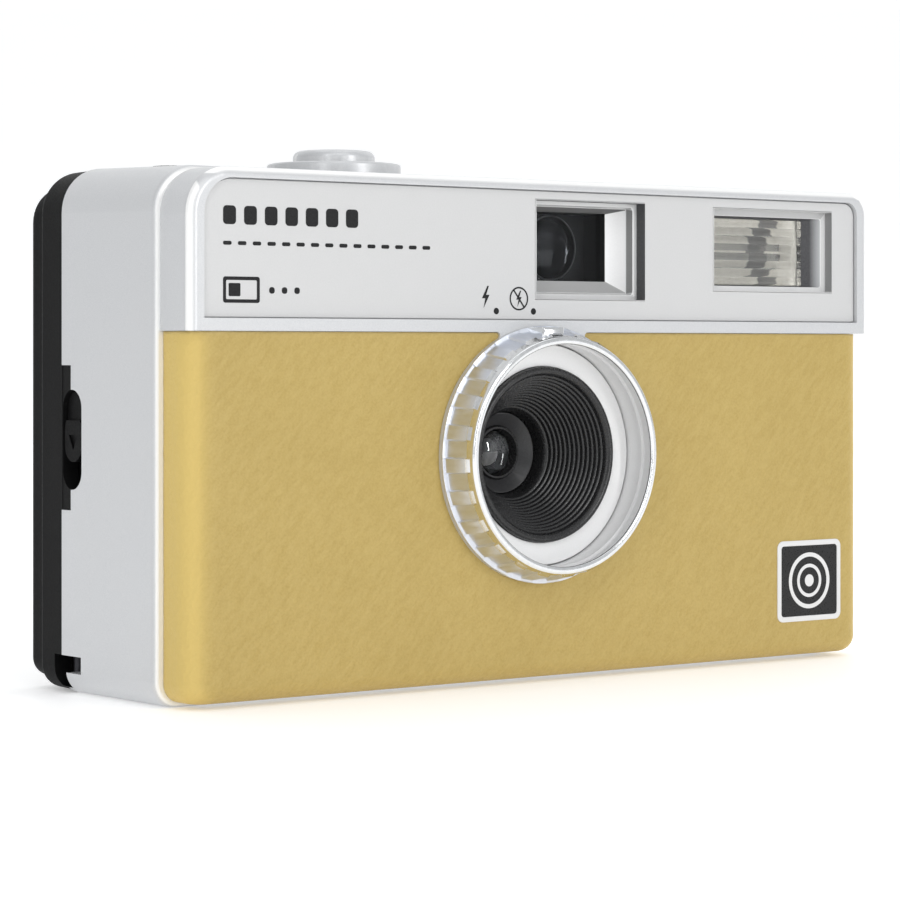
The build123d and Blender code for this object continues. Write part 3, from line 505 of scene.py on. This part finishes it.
def rounded(bounds, radius, steps):
    """The outline of a rectangle with rounded corners, anticlockwise from the bottom left."""
    left, right, bottom, top = grown(bounds, -radius)
    corners = ((left, bottom, 180), (right, bottom, 270), (right, top, 0), (left, top, 90))
    points = []
    for x, z, start in corners:
        points += arc((x, z), radius, start, start + 90, steps)
    return points


def loft(bm, loops, close_ends=False, ring=False):
    """Joins loops of 3-D points with quads."""
    made = [[bm.verts.new(point) for point in loop] for loop in loops]
    pairs = list(zip(made, made[1:]))
    if ring:
        pairs.append((made[-1], made[0]))
    for first, second in pairs:
        for index in range(len(first)):
            after = (index + 1) % len(first)
            bm.faces.new((first[index], first[after], second[after], second[index]))
    if close_ends:
        bm.faces.new(made[0])
        bm.faces.new(made[-1])


def at_depth(points, depth):
    """An outline of (x, z) points as 3-D points at one depth."""
    return [(x, depth, z) for x, z in points]


def plate_mesh(bm, points, front, back):
    """A flat plate with the outline points between two depths."""
    loft(bm, [at_depth(points, front), at_depth(points, back)], close_ends=True)


def grown(bounds, by):
    """A rectangle's bounds moved outwards on every side."""
    left, right, bottom, top = bounds
    return left - by, right + by, bottom - by, top + by


# ---------------------------------------------------------------- leatherette

SKIN_FRONT = 0.3
SKIN_EDGE_R = 3.5
SKIN_BOTTOM_R = 2.2
SKIN_SINK = 0.03
SKIN_TUCK = 0.8
SKIN_STEP = 0.42
SKIN_BACK = 6.14
BOSS_R = 15.79


def skin_path():
    """Plan of the skin: side, rounded corner, front, corner, side. Points of (x, y, inward x, inward y)."""
    left, right = SKIN[0], SKIN[1]
    path = []
    side_steps = 6
    corner_steps = 12
    corner_y = SKIN_FRONT + SKIN_EDGE_R
    for step in range(side_steps):
        path.append((left, SKIN_BACK + (corner_y - SKIN_BACK) * step / side_steps, 1, 0))
    for x, y in arc((left + SKIN_EDGE_R, corner_y), SKIN_EDGE_R, 180, 270, corner_steps):
        path.append((x, y, (left + SKIN_EDGE_R - x) / SKIN_EDGE_R, (corner_y - y) / SKIN_EDGE_R))
    straight = right - left - 2 * SKIN_EDGE_R
    count = int(straight / SKIN_STEP)
    for step in range(1, count):
        path.append((left + SKIN_EDGE_R + straight * step / count, SKIN_FRONT, 0, 1))
    side_and_corner = path[:side_steps + corner_steps + 1]
    mirrored = [(left + right - x, y, -inward_x, inward_y) for x, y, inward_x, inward_y in side_and_corner]
    return path + mirrored[::-1]


def skin_rise():
    """Heights from the top edge down and round under the bottom: points of (height, how far inward)."""
    top, low = SKIN[3], SKIN[2]
    straight = top - low - SKIN_BOTTOM_R
    count = int(straight / SKIN_STEP)
    rise = [(top - straight * step / count, 0.0) for step in range(count)]
    for inward, height in arc((SKIN_BOTTOM_R, low + SKIN_BOTTOM_R), SKIN_BOTTOM_R, 180, 270, 8):
        rise.append((height, inward))
    return rise + [(low, SKIN_BOTTOM_R + SKIN_TUCK * step) for step in (1, 2)]


def skin_relief(x, y, z):
    """Soft unevenness of the stretched skin: broad waves and small diagonal creases, in millimetres."""
    broad = noise.noise(Vector((x * 0.05, y * 0.05, z * 0.07)))
    crease = noise.noise(Vector((x * 0.42 + z * 0.25, y * 0.4, z * 0.75 - x * 0.12)))
    pebble = noise.noise(Vector((x * 1.3, y * 1.3, z * 1.5)))
    return 0.03 * broad + 0.022 * crease + 0.012 * pebble


def make_leatherette():
    """The skin over the front, both sides and the bottom edge, cut out round the lens boss."""
    bm = bmesh.new()
    columns = []
    for x, y, inward_x, inward_y in skin_path():
        column = []
        for height, inward in skin_rise():
            px, py = x + inward_x * inward, y + inward_y * inward
            sunk = SKIN_SINK + skin_relief(px, py, height)
            column.append(bm.verts.new((px + inward_x * sunk, py + inward_y * sunk, height)))
        columns.append(column)
    for first, second in zip(columns, columns[1:]):
        for index in range(len(first) - 1):
            bm.faces.new((first[index], first[index + 1], second[index + 1], second[index]))
    front_face = 1.5
    hole = BOSS_R - 0.3
    hidden = []
    for face in bm.faces:
        centre = face.calc_center_median()
        if centre.y < front_face and hypot(centre.x - LENS_X, centre.z - LENS_Z) < hole - 0.05:
            hidden.append(face)
    bmesh.ops.delete(bm, geom=hidden, context="FACES")
    for vert in bm.verts:
        away = Vector((vert.co.x - LENS_X, 0, vert.co.z - LENS_Z))
        beside_hole = vert.co.y < front_face and away.length < hole + 0.8 and vert.co.z < SKIN[3] - 0.1
        if vert.is_boundary and beside_hole:
            away.length = hole
            vert.co.x, vert.co.z = LENS_X + away.x, LENS_Z + away.z
    replaced = ["leatherette"]
    skin = finish_piece("leatherette_skin", bm, LEATHER, replaces=replaced, smooth_deg=60)
    thicken(skin, 0.4, -1)


# ---------------------------------------------------------------- selector ring, cone and lens

RIBS = 24
RIB_DUTY = 0.5
RIB_RISE = 0.26
RIB_SLOPE = 0.04
RIB_CHAMFER = (-3.62, -4.12)
RIB_BACK = -0.5
RIB_FOOT_R = 14.3
INNER_WALL_R = 13.95


def ribbed(radius, depth, angle):
    """Raises pads on the ring's outer wall, between its front lip and its rear rim, chamfered in front."""
    full, end = RIB_CHAMFER
    if radius < RIB_FOOT_R or depth < end or depth > RIB_BACK:
        return radius
    phase = (angle * RIBS / tau) % 1.0
    edge = min(phase, RIB_DUTY - phase) / RIB_SLOPE if phase < RIB_DUTY else -1
    fade = min(1.0, (depth - end) / (full - end))
    return radius + RIB_RISE * fade * max(0.0, min(1.0, edge))


def make_selector_ring():
    """The ring that switches the flash: a ribbed wall, a rolled front lip and a stepped inner wall."""
    bm = bmesh.new()
    outer = [(15.1, -0.29), (15.74, -0.29), (15.83, -0.35), (15.82, -0.45), (15.46, -0.56), (15.32, -0.6)]
    wall = [(15.26, -0.66), (14.66, RIB_CHAMFER[0]), (14.58, RIB_CHAMFER[1]), (14.53, -4.3)]
    lip = arc((14.14, -4.45), 0.35, 0, -90, 5) + arc((13.85, -4.5), 0.3, 270, 180, 4)
    inner = [(13.9, -4.1), (13.92, -2.95), (13.88, -2.88), (13.58, -2.78), (13.55, -2.7), (13.75, 0.1)]
    skirt = [(13.75, 3.0), (14.38, 3.0), (14.38, -0.35)]
    steps_per_rib = 50
    lathe(bm, outer + wall + lip[1:] + inner + skirt, RIBS * steps_per_rib, ribbed)
    ring = finish_piece("selector_ring_body", bm, CHROME, "selector", ["selector_ring"], 30)
    ring.data.materials.append(SATIN)
    ring.data.materials.append(RING_WALL)
    behind_lip = -4.4
    for face in ring.data.polygons:
        if lens_radius(face) < INNER_WALL_R and depth_of(face) > behind_lip:
            face.material_index = 1
        elif RIB_CHAMFER[0] < depth_of(face) < RIB_BACK:
            face.material_index = 2


def make_pointer():
    """The raised pad on the ring's top that points at the dots on the plate."""
    bm = bmesh.new()
    left, right = LENS_X - 2.7, LENS_X + 0.7
    foot, top = LENS_Z + 14.2, LENS_Z + 15.6
    front, back = -3.4, -0.45
    loops = []
    for depth, inset in ((back, 0.0), (front + 0.2, 0.0), (front, 0.25)):
        outline = rounded((left + inset, right - inset, foot, top - inset), 0.15, 3)
        loops.append(at_depth(outline, depth))
    loft(bm, loops, close_ends=True)
    finish_piece("selector_pointer", bm, CHROME, "selector")


def make_bezel():
    """The flat pale ring between the cone and the selector ring."""
    bm = bmesh.new()
    profile = [(10.85, 0.9), (10.85, 0.08), (10.93, 0.0), (13.5, 0.0), (13.6, 0.1), (13.6, 0.9)]
    lathe(bm, profile)
    finish_piece("lens_bezel_ring", bm, ANNULUS, replaces=["lens_bezel"])


def make_cone():
    """The baffle: a rounded front rim, fine rolled ridges, and a plain throat."""
    bm = bmesh.new()
    ridges = 13
    start_r, end_r = 9.75, 5.6
    start_y, end_y = -0.25, 6.3
    step_r, step_y = (end_r - start_r) / ridges, (end_y - start_y) / ridges
    throat = [(13.55, 1.1), (13.55, 9.2), (5.1, 9.2), (5.12, 8.6), (5.3, end_y + 0.4), (5.4, end_y + 0.2)]
    ridge = ((0.2, 0.72), (0.85, 0.8), (1.0, 0.9))
    steps = []
    for index in range(ridges):
        radius, depth = start_r + step_r * index, start_y + step_y * index
        steps += [(radius, depth), (radius - 0.03, depth + step_y * 0.55)]
        steps += [(radius + step_r * across, depth + step_y * back) for across, back in ridge]
    rim = [(9.85, -0.45), (10.1, -0.72), (10.35, -0.8), (10.62, -0.76), (10.78, -0.6), (10.8, -0.3)]
    lathe(bm, throat + steps[::-1] + rim + [(10.8, 1.1)])
    finish_piece("cone_baffle", bm, CONE_BLACK, replaces=["lens_cone"], smooth_deg=50)


def make_barrel():
    """The lens cell: a sloping grey front ring, then the tube that holds the glass."""
    bm = bmesh.new()
    bore = [(2.75, 11.95), (2.75, 10.3), (2.82, 9.7), (2.9, 9.1), (3.0, 8.95), (3.2, 8.95), (3.32, 9.1)]
    slope = [(3.36, 9.3), (3.45, 9.2), (4.9, 8.15), (5.0, 8.15), (5.05, 8.3), (5.05, 9.4)]
    tube = [(3.7, 9.5), (3.55, 9.6), (3.55, 11.95)]
    lathe(bm, bore + slope + tube, 128)
    cell = finish_piece("lens_cell", bm, CONE_BLACK, replaces=["lens_barrel"])
    cell.data.materials.append(CELL_GREY)
    slope_start_r, slope_back = 3.5, 9.3
    for face in cell.data.polygons:
        if depth_of(face) < slope_back and lens_radius(face) > slope_start_r:
            face.material_index = 1


def cap_points(radius, sag, depth):
    """A spherical face from the axis outwards, as points of (radius, depth)."""
    curve = (radius**2 + sag**2) / (2 * sag)
    steps = 10
    points = []
    for step in range(steps + 1):
        r = radius * step / steps
        points.append((r, depth + curve - sqrt(curve**2 - r**2)))
    return points


def make_lenses():
    """The front and rear glasses in the lens cell."""
    front = bmesh.new()
    disc_lathe(front, cap_points(2.72, 0.8, 9.35) + [(2.72, 10.6), (0, 10.5)])
    finish_piece("front_lens", front, GLASS, replaces=["front_element"])
    rear = bmesh.new()
    disc_lathe(rear, cap_points(2.7, 0.3, 10.9) + [(2.7, 11.8), (0, 11.8)])
    finish_piece("rear_lens", rear, GLASS, replaces=["rear_element"])


# ---------------------------------------------------------------- finder and flash windows

FINDER_GLASS = (-0.1, 11.0, 49.65, 58.25)
FLASH_GLASS = (26.9, 43.4, 49.5, 58.15)
SCOPE = ((FINDER_GLASS[0] + FINDER_GLASS[1]) / 2 - 0.1, (FINDER_GLASS[2] + FINDER_GLASS[3]) / 2)


def side_of(face):
    """0 for a frame's left and right faces, 1 for its bottom ones and 2 for its top ones."""
    sides = [edge.verts[0].co - edge.verts[1].co for edge in face.edges]
    lengthwise = max(sides, key=lambda side: side.length)
    if abs(lengthwise.z) > abs(lengthwise.x):
        return 0
    return 1 if face.calc_center_median().z < SCOPE[1] else 2


def stepped_frame(name, steps, node, paints):
    """A window frame whose section follows steps of (bounds, depth, corner radius, paint), outside in.

    A step's paint is for the face that leads to the next step: an index into paints, or one for each side_of.
    """
    bm = bmesh.new()
    loops = [at_depth(rounded(bounds, radius, 4), depth) for bounds, depth, radius, paint in steps]
    made = [[bm.verts.new(point) for point in loop] for loop in loops]
    pairs = list(zip(made, made[1:] + made[:1]))
    for (first, second), (bounds, depth, radius, paint) in zip(pairs, steps):
        for index in range(len(first)):
            after = (index + 1) % len(first)
            face = bm.faces.new((first[index], first[after], second[after], second[index]))
            face.material_index = paint if isinstance(paint, int) else paint[side_of(face)]
    piece = finish_piece(name, bm, paints[0], replaces=[node], smooth_deg=30)
    for extra in paints[1:]:
        piece.data.materials.append(extra)


def make_finder_frame():
    """The finder's frame: a lip flush with the plate, a sloping wall, a ledge, and a funnel to the glass."""
    outer = FINDER
    ledge = (outer[0] + 0.5, outer[1] - 0.62, outer[2] + 0.75, outer[3] - 0.55)
    throat = (outer[0] + 0.7, outer[1] - 0.8, outer[2] + 0.9, outer[3] - 0.65)
    steps = (
        (outer, 6.0, 0.12, 0), (outer, 0.56, 0.12, 0), (grown(outer, -0.06), 0.5, 0.12, 1),
        (grown(outer, -0.1), 2.1, 0.12, 0), (grown(ledge, 0.12), 2.18, 0.5, 2), (ledge, 2.3, 0.5, (5, 0, 0)),
        (throat, 3.3, 0.1, 0), (grown(throat, -0.08), 3.38, 0.1, (2, 3, 4)), (FINDER_GLASS, 4.15, 0.05, 6),
        (FINDER_GLASS, 6.0, 0.05, 0),
    )
    # Apart from the first and the last, these paints are painted light and shade on faces of one grey moulding.
    paints = (FRAME_GREY, FRAME_DARK, FRAME_LIGHT, FRAME_MIDDLE, FRAME_UNDER, FRAME_SIDE, TUNNEL_BLACK)
    stepped_frame("finder_frame", steps, "finder_bezel", paints)


def make_finder_tunnel():
    """The black tunnel: a square mouth, a partition with the round lens rim, then a taper to the eyepiece."""
    bm = bmesh.new()
    rim_r = 4.05
    front, partition, back = 6.05, 8.4, 30.6
    mouth = (-1.6, 12.2, 48.7, 58.95)
    eyepiece = (2.4, 8.2, 51.6, 56.0)
    count = 64
    angles = [tau * step / count for step in range(count)]

    def squared(bounds, depth):
        """A rectangle with the same number of points as the round hole."""
        middle_x, middle_z = (bounds[0] + bounds[1]) / 2, (bounds[2] + bounds[3]) / 2
        half_x, half_z = (bounds[1] - bounds[0]) / 2, (bounds[3] - bounds[2]) / 2
        points = []
        for angle in angles:
            scale = 1 / max(abs(cos(angle)), abs(sin(angle)))
            across, up = half_x * cos(angle) * scale, half_z * sin(angle) * scale
            points.append((middle_x + across, depth, middle_z + up))
        return points

    def ring(beyond_rim, depth):
        """A circle about the round lens, a little wider or narrower than its rim."""
        radius = rim_r + beyond_rim
        return [(SCOPE[0] + radius * cos(angle), depth, SCOPE[1] + radius * sin(angle)) for angle in angles]

    rim = ((0.12, partition), (0.06, 8.25), (-0.04, 8.2), (-0.1, 8.35), (-0.12, 9.6))
    inner = [squared(FINDER_GLASS, front), squared(grown(FINDER_GLASS, -0.1), partition)]
    inner += [ring(beyond_rim, depth) for beyond_rim, depth in rim]
    outer = [squared(grown(eyepiece, 1.0), back), squared(mouth, front)]
    loft(bm, inner + [squared(eyepiece, back)] + outer, ring=True)
    paint, replaced = TUNNEL_BLACK, ["finder_tube"]
    tunnel = finish_piece("finder_tunnel", bm, paint, replaces=replaced, smooth_deg=40)
    # The rim faces take the lighter paint, a painted highlight.
    tunnel.data.materials.append(LENS_RIM)
    for face in tunnel.data.polygons:
        radius = hypot(face.center.x / MM - SCOPE[0], face.center.z / MM - SCOPE[1])
        if depth_of(face) < partition - 0.01 and -0.11 < radius - rim_r < 0.1:
            face.material_index = 1


def make_scope_lens():
    """The finder's front glass: a flat panel, and the round lens seated in the rim behind it."""
    bm = bmesh.new()
    plate_mesh(bm, rounded(grown(FINDER_GLASS, 0.25), 0.05, 3), 4.5, 5.3)
    finish_piece("finder_glass", bm, FINDER_CLEAR, replaces=["finder_front_lens"])
    bm = bmesh.new()
    disc_lathe(bm, cap_points(3.9, 0.8, 8.6) + [(3.9, 9.5), (0, 9.5)], SCOPE)
    finish_piece("finder_round_lens", bm, SHADE_TINTED_CLEAR)


def make_flash_frame():
    """The flash's frame: a lip flush with the plate, a sloping wall, and a ledge round the panel."""
    outer = FLASH
    ledge = (outer[0] + 0.3, outer[1] - 0.95, outer[2] + 0.75, outer[3] - 0.95)
    steps = (
        (outer, 5.0, 0.12, 0), (outer, 0.56, 0.12, 0), (grown(outer, -0.06), 0.5, 0.12, (4, 0, 0)),
        (grown(outer, -0.1), 1.7, 0.12, (0, 0, 5)), (grown(ledge, 0.05), 1.75, 0.3, 3), (ledge, 1.82, 0.3, 1),
        (FLASH_GLASS, 2.2, 0.05, 2), (FLASH_GLASS, 5.0, 0.05, 0),
    )
    # Apart from the first, these paints are painted light and shade on faces of one grey moulding.
    paints = (FRAME_GREY, FRAME_SHADE, FRAME_DARK, FRAME_LIGHT, FRAME_SIDE, FRAME_TOP)
    stepped_frame("flash_frame", steps, "flash_bezel", paints)


def make_flash_lens():
    """The clear panel, with rounded ribs along it that spread the light."""
    bm = bmesh.new()
    left, right, bottom, top = grown(FLASH_GLASS, -0.03)
    face_depth, back_depth, rib_rise = 2.3, 3.6, 0.12
    ribs = 8
    per_rib = 10
    pitch = (top - bottom) / ribs
    front = []
    for step in range(ribs * per_rib + 1):
        height = bottom + (top - bottom) * step / (ribs * per_rib)
        share = (height - bottom) / pitch % 1.0
        front.append((face_depth - rib_rise * sqrt(max(0.0, 1 - (2 * share - 1) ** 2)), height))
    section = front + [(back_depth, top), (back_depth, bottom)]
    loops = [[(x, depth, height) for depth, height in section] for x in (left, right)]
    loft(bm, loops, close_ends=True)
    finish_piece("flash_panel", bm, FLASH_CLEAR, replaces=["flash_lens"], smooth_deg=40)


def make_reflector():
    """The bright trough round the flash tube, pressed with shallow facets."""
    bm = bmesh.new()
    left, right, bottom, top = grown(FLASH_GLASS, -0.03)
    floor_depth, mouth_depth = 7.0, 3.65
    end_wall, unevenness = 0.12, 0.05
    columns = 36
    rows = 12
    grid = []
    for row in range(rows + 1):
        share = row / rows
        height = bottom + (top - bottom) * share
        sunk = 1 - (2 * share - 1) ** 2
        line = []
        for column in range(columns + 1):
            along = column / columns
            wall = min(along, 1 - along) / end_wall
            depth = mouth_depth + (floor_depth - mouth_depth) * sunk * min(1.0, wall)
            depth += unevenness * noise.noise(Vector((along * 21, share * 9, 3.3)))
            line.append(bm.verts.new((left + (right - left) * along, depth, height)))
        grid.append(line)
    for low, high in zip(grid, grid[1:]):
        for index in range(columns):
            bm.faces.new((low[index], low[index + 1], high[index + 1], high[index]))
    replaced = ["flash_reflector"]
    trough = finish_piece("flash_trough", bm, MIRROR, replaces=replaced, smooth_deg=60)
    thicken(trough, 0.25, 1)


# ---------------------------------------------------------------- printed marks and badge

PRINT_DEPTH = (0.575, 0.62)


def bar(bounds, radius):
    """The outline of a printed bar with rounded corners."""
    return rounded(bounds, radius, 4)


def disc(centre, radius, steps):
    """A circle's outline."""
    return arc(centre, radius, 0, 360, steps)[:-1]


def print_shapes(name, outlines, paint=BLACK_INK, depth=PRINT_DEPTH):
    """Flat printed shapes, each an outline, or an outer and an inner outline with paint between them."""
    bm = bmesh.new()
    for shape in outlines:
        if isinstance(shape, dict):
            front, back = depth
            section = (("outer", back), ("outer", front), ("inner", front), ("inner", back))
            loft(bm, [at_depth(shape[outline], y) for outline, y in section], ring=True)
        else:
            plate_mesh(bm, shape, *depth)
    finish_piece(name, bm, paint)


def frame_outline(bounds, line, radius):
    """A rounded rectangle drawn as a line."""
    return {"outer": bar(bounds, radius), "inner": bar(grown(bounds, -line), radius * 0.5)}


def ring_outline(centre, radius, line):
    """A circle drawn as a line."""
    return {"outer": disc(centre, radius, 48), "inner": disc(centre, radius - line, 48)}


def bolt(centre, size):
    """A lightning bolt."""
    points = ((0.22, 1.0), (-0.5, -0.12), (-0.06, -0.12), (-0.28, -1.0), (0.5, 0.2), (0.06, 0.2), (0.42, 1.0))
    return [(centre[0] + x * size * 0.85, centre[1] + z * size) for x, z in points]


def slanted_bar(centre, length, line, degrees):
    """A straight stroke through centre, rising at degrees."""
    turn = radians(degrees)
    corners = ((-length, -line), (length, -line), (length, line), (-length, line))
    points = []
    for x, z in corners:
        along, up = x * cos(turn) - z * sin(turn), x * sin(turn) + z * cos(turn)
        points.append((centre[0] + along / 2, centre[1] + up / 2))
    return points


def make_marks():
    """Plain marks: film holes, a row of ticks, a split frame with three dots, and the flash symbols."""
    left = -48.75
    shapes = []
    hole_pitch, hole_width = 2.85, 1.75
    for index in range(7):
        start = left + index * hole_pitch
        shapes.append(bar((start, start + hole_width, 55.35, 57.5), 0.45))
    tick_pitch, tick_width = 2.02, 1.15
    for index in range(15):
        start = left + index * tick_pitch
        shapes.append(bar((start, start + tick_width, 53.0, 53.45), 0.2))
    shapes.append(frame_outline((left, left + 5.0, 46.4, 49.4), 0.4, 0.3))
    shapes.append(bar((left + 0.75, left + 2.35, 47.15, 48.65), 0.15))
    dot_pitch, dot_width = 1.75, 0.75
    for index in range(3):
        start = left + 6.3 + index * dot_pitch
        shapes.append(bar((start, start + dot_width, 47.5, 48.25), 0.3))
    print_shapes("plate_marks", shapes)
    print_shapes("selector_dots", [disc((x, 45.75), 0.4, 24) for x in (-9.26, -3.47)])
    flash_on, flash_off = (-10.9, 47.45), (-5.75, 47.3)
    symbols = [bolt(flash_on, 1.35), ring_outline(flash_off, 1.45, 0.2), bolt(flash_off, 0.98)]
    print_shapes("flash_symbols", symbols)
    print_shapes("flash_off_stroke", [slanted_bar(flash_off, 2.6, 0.2, 128)], depth=(0.57, 0.6))


def make_badge():
    """A small square plate with a white rim, a dark inlay, and a plain lens motif of its own."""
    back, edge, top = SKIN_FRONT + 0.25, SKIN_FRONT - 0.09, SKIN_FRONT - 0.15
    steps = (
        (0.0, back, 0.95), (0.0, edge, 0.95), (-0.12, top, 0.85),
        (-0.62, top, 0.5), (-0.68, edge, 0.45), (-0.68, back, 0.45),
    )
    rim = bmesh.new()
    loops = [at_depth(rounded(grown(BADGE, inset), radius, 6), depth) for inset, depth, radius in steps]
    loft(rim, loops, ring=True)
    finish_piece("badge_rim", rim, BADGE_WHITE, replaces=["badge"])
    inlay = bmesh.new()
    plate_mesh(inlay, rounded(grown(BADGE, -0.66), 0.45, 6), SKIN_FRONT - 0.06, SKIN_FRONT + 0.24)
    finish_piece("badge_inlay", inlay, BADGE_BLACK)
    centre = ((BADGE[0] + BADGE[1]) / 2, (BADGE[2] + BADGE[3]) / 2)
    rings = [ring_outline(centre, 3.7, 0.55), ring_outline(centre, 2.2, 0.45)]
    print_shapes("badge_rings", rings, BADGE_WHITE, (edge, SKIN_FRONT))
    print_shapes("badge_dot", [disc(centre, 0.8, 32)], BADGE_WHITE, (edge, SKIN_FRONT))


# ---------------------------------------------------------------- frame counter dial

DIAL_FACE = 59.11
DIAL_NUMBERS = range(6, 73, 6)
NUMBERS_R = 4.5


def make_dial_numbers():
    """Plain numbers printed round the frame counter's dial; the window shows one at a time."""
    low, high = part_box("counter_dial")
    centre = ((low[0] + high[0]) / 2, (low[1] + high[1]) / 2)
    reach = NUMBERS_R * MM
    made = []
    for index, number in enumerate(DIAL_NUMBERS):
        angle = pi - tau * index / len(DIAL_NUMBERS)
        name = f"dial_number_{number}"
        text = bpy.data.curves.new(name, "FONT")
        text.body = str(number)
        text.size = 1.9 * MM
        text.align_x = "CENTER"
        text.align_y = "CENTER"
        text.extrude = 0.02 * MM
        label = bpy.data.objects.new(name, text)
        bpy.context.scene.collection.objects.link(label)
        label.location = (centre[0] + reach * cos(angle), centre[1] + reach * sin(angle), DIAL_FACE * MM)
        label.rotation_euler = (0, 0, angle - 1.5 * pi)
        label.data.materials.append(BLACK_INK)
        made.append(label)
    bpy.context.view_layer.update()
    graph = bpy.context.evaluated_depsgraph_get()
    bm = bmesh.new()
    for label in made:
        mesh = bpy.data.meshes.new_from_object(label.evaluated_get(graph))
        mesh.transform(label.matrix_world)
        bm.from_mesh(mesh)
        bpy.data.objects.remove(label)
    for vert in bm.verts:
        vert.co = (vert.co.x / MM, (vert.co.y - RIM_Y) / MM, vert.co.z / MM)
    finish_piece("dial_numbers", bm, BLACK_INK, "counter")


# ---------------------------------------------------------------- CAD pieces that stay

# The paint of each material slot, and of the nodes whose front rims get a painted highlight of their own.
SLOT_PAINTS = {
    "silver_shell": SILVER, "face_plate": PLATE_PAINT, "grey_frame": FRAME_GREY, "clear_plastic": CLEAR,
    "lens_glass": GLASS, "bright_metal": MIRROR, "chromed_ring": CHROME, "steel": STEEL, "foam": FOAM,
    "leatherette": LEATHER, "badge": BADGE_BLACK, "blackened_steel": DARK_STEEL, "black_plastic": BLACK,
    "counter_dial": DIAL_WHITE, "capacitor_sleeve": SLEEVE, "circuit_board": BOARD,
}
NODE_PAINTS = {"body_shell": SHELL_SILVER, "front_cover": CAP_SILVER}


def make_springs():
    """Stands a copy in for each coil spring that shortens as its button or slide travels."""
    for joint in frame["joints"]:
        for spring in joint.get("deforming_nodes", []):
            name = spring["node"]
            coil = bpy.data.objects.new(name + "_coil", NODES[name].data.copy())
            bpy.context.scene.collection.objects.link(coil)
            coil.data.materials.clear()
            coil.data.materials.append(STEEL)
            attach(coil, "camera_body")
            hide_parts(name)
            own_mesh(coil)


def paint_cad_nodes():
    """Gives every CAD piece its procedural material."""
    for part in frame["record"]["subparts"]:
        node = NODES[part["node"]]
        node.data.materials.clear()
        node.data.materials.append(NODE_PAINTS.get(part["node"], SLOT_PAINTS[part["material_slot"]]))


# ---------------------------------------------------------------- camera, light and floor

VIEW_TURN = radians(-37.21)


def make_camera():
    """A level view from in front of the object and to its left, shifted down to frame it."""
    data = bpy.data.cameras.new("view")
    data.sensor_width = 36
    data.lens = 119.4
    data.shift_y = -0.111
    data.clip_start = 0.01
    data.clip_end = 20
    camera = bpy.data.objects.new("view", data)
    camera.location = (-0.2335, RIM_Y - 0.2854, 0.0410)
    camera.rotation_euler = (radians(90), 0, VIEW_TURN)
    bpy.context.scene.collection.objects.link(camera)
    bpy.context.scene.camera = camera


def area_light(name, place, target, size, power):
    """A soft rectangular panel that faces target."""
    data = bpy.data.lights.new(name, "AREA")
    data.shape = "RECTANGLE"
    data.size, data.size_y = size
    data.energy = power
    lamp = bpy.data.objects.new(name, data)
    lamp.location = place
    lamp.rotation_euler = (Vector(target) - Vector(place)).to_track_quat("-Z", "Y").to_euler()
    bpy.context.scene.collection.objects.link(lamp)


def make_studio():
    """A white floor that curves up behind, a bright even sky, and four soft panels."""
    floor = bmesh.new()
    wide = 4.0
    run = [(-3.0, 0.0), (0.9, 0.0), (1.2, 0.02), (1.45, 0.1), (1.62, 0.27), (1.7, 0.5), (1.7, 3.0)]
    left, right = [[floor.verts.new((x, y, z)) for y, z in run] for x in (-wide, wide)]
    for index in range(len(run) - 1):
        floor.faces.new((left[index], right[index], right[index + 1], left[index + 1]))
    mesh = bpy.data.meshes.new("floor")
    floor.to_mesh(mesh)
    floor.free()
    mesh.materials.append(FLOOR_WHITE)
    sheet = bpy.data.objects.new("floor", mesh)
    sheet.rotation_euler = (0, 0, VIEW_TURN)
    bpy.context.scene.collection.objects.link(sheet)
    world = bpy.data.worlds.new("studio")
    world.use_nodes = True
    sky = world.node_tree.nodes["Background"]
    sky.inputs["Color"].default_value = (0.97, 0.985, 1.0, 1)
    sky.inputs["Strength"].default_value = 0.6
    bpy.context.scene.world = world
    centre = (0, 0, 0.03)
    area_light("key_panel", (-0.25, -0.75, 0.75), centre, (0.6, 0.5), 1.3)
    area_light("strip_panel", (-0.65, -0.47, 0.36), centre, (0.11, 0.6), 0.8)
    area_light("glint_panel", (0.18, -0.78, 0.22), centre, (0.06, 0.35), 1.3)
    area_light("top_panel", (0.1, 0.1, 0.9), centre, (0.8, 0.6), 1.1)
    bpy.context.scene.view_settings.view_transform = "Standard"


make_leatherette()
make_selector_ring()
make_pointer()
make_bezel()
make_cone()
make_barrel()
make_lenses()
make_finder_frame()
make_finder_tunnel()
make_scope_lens()
make_flash_frame()
make_flash_lens()
make_reflector()
make_marks()
make_badge()
make_dial_numbers()
make_springs()
paint_cad_nodes()
make_camera()
make_studio()
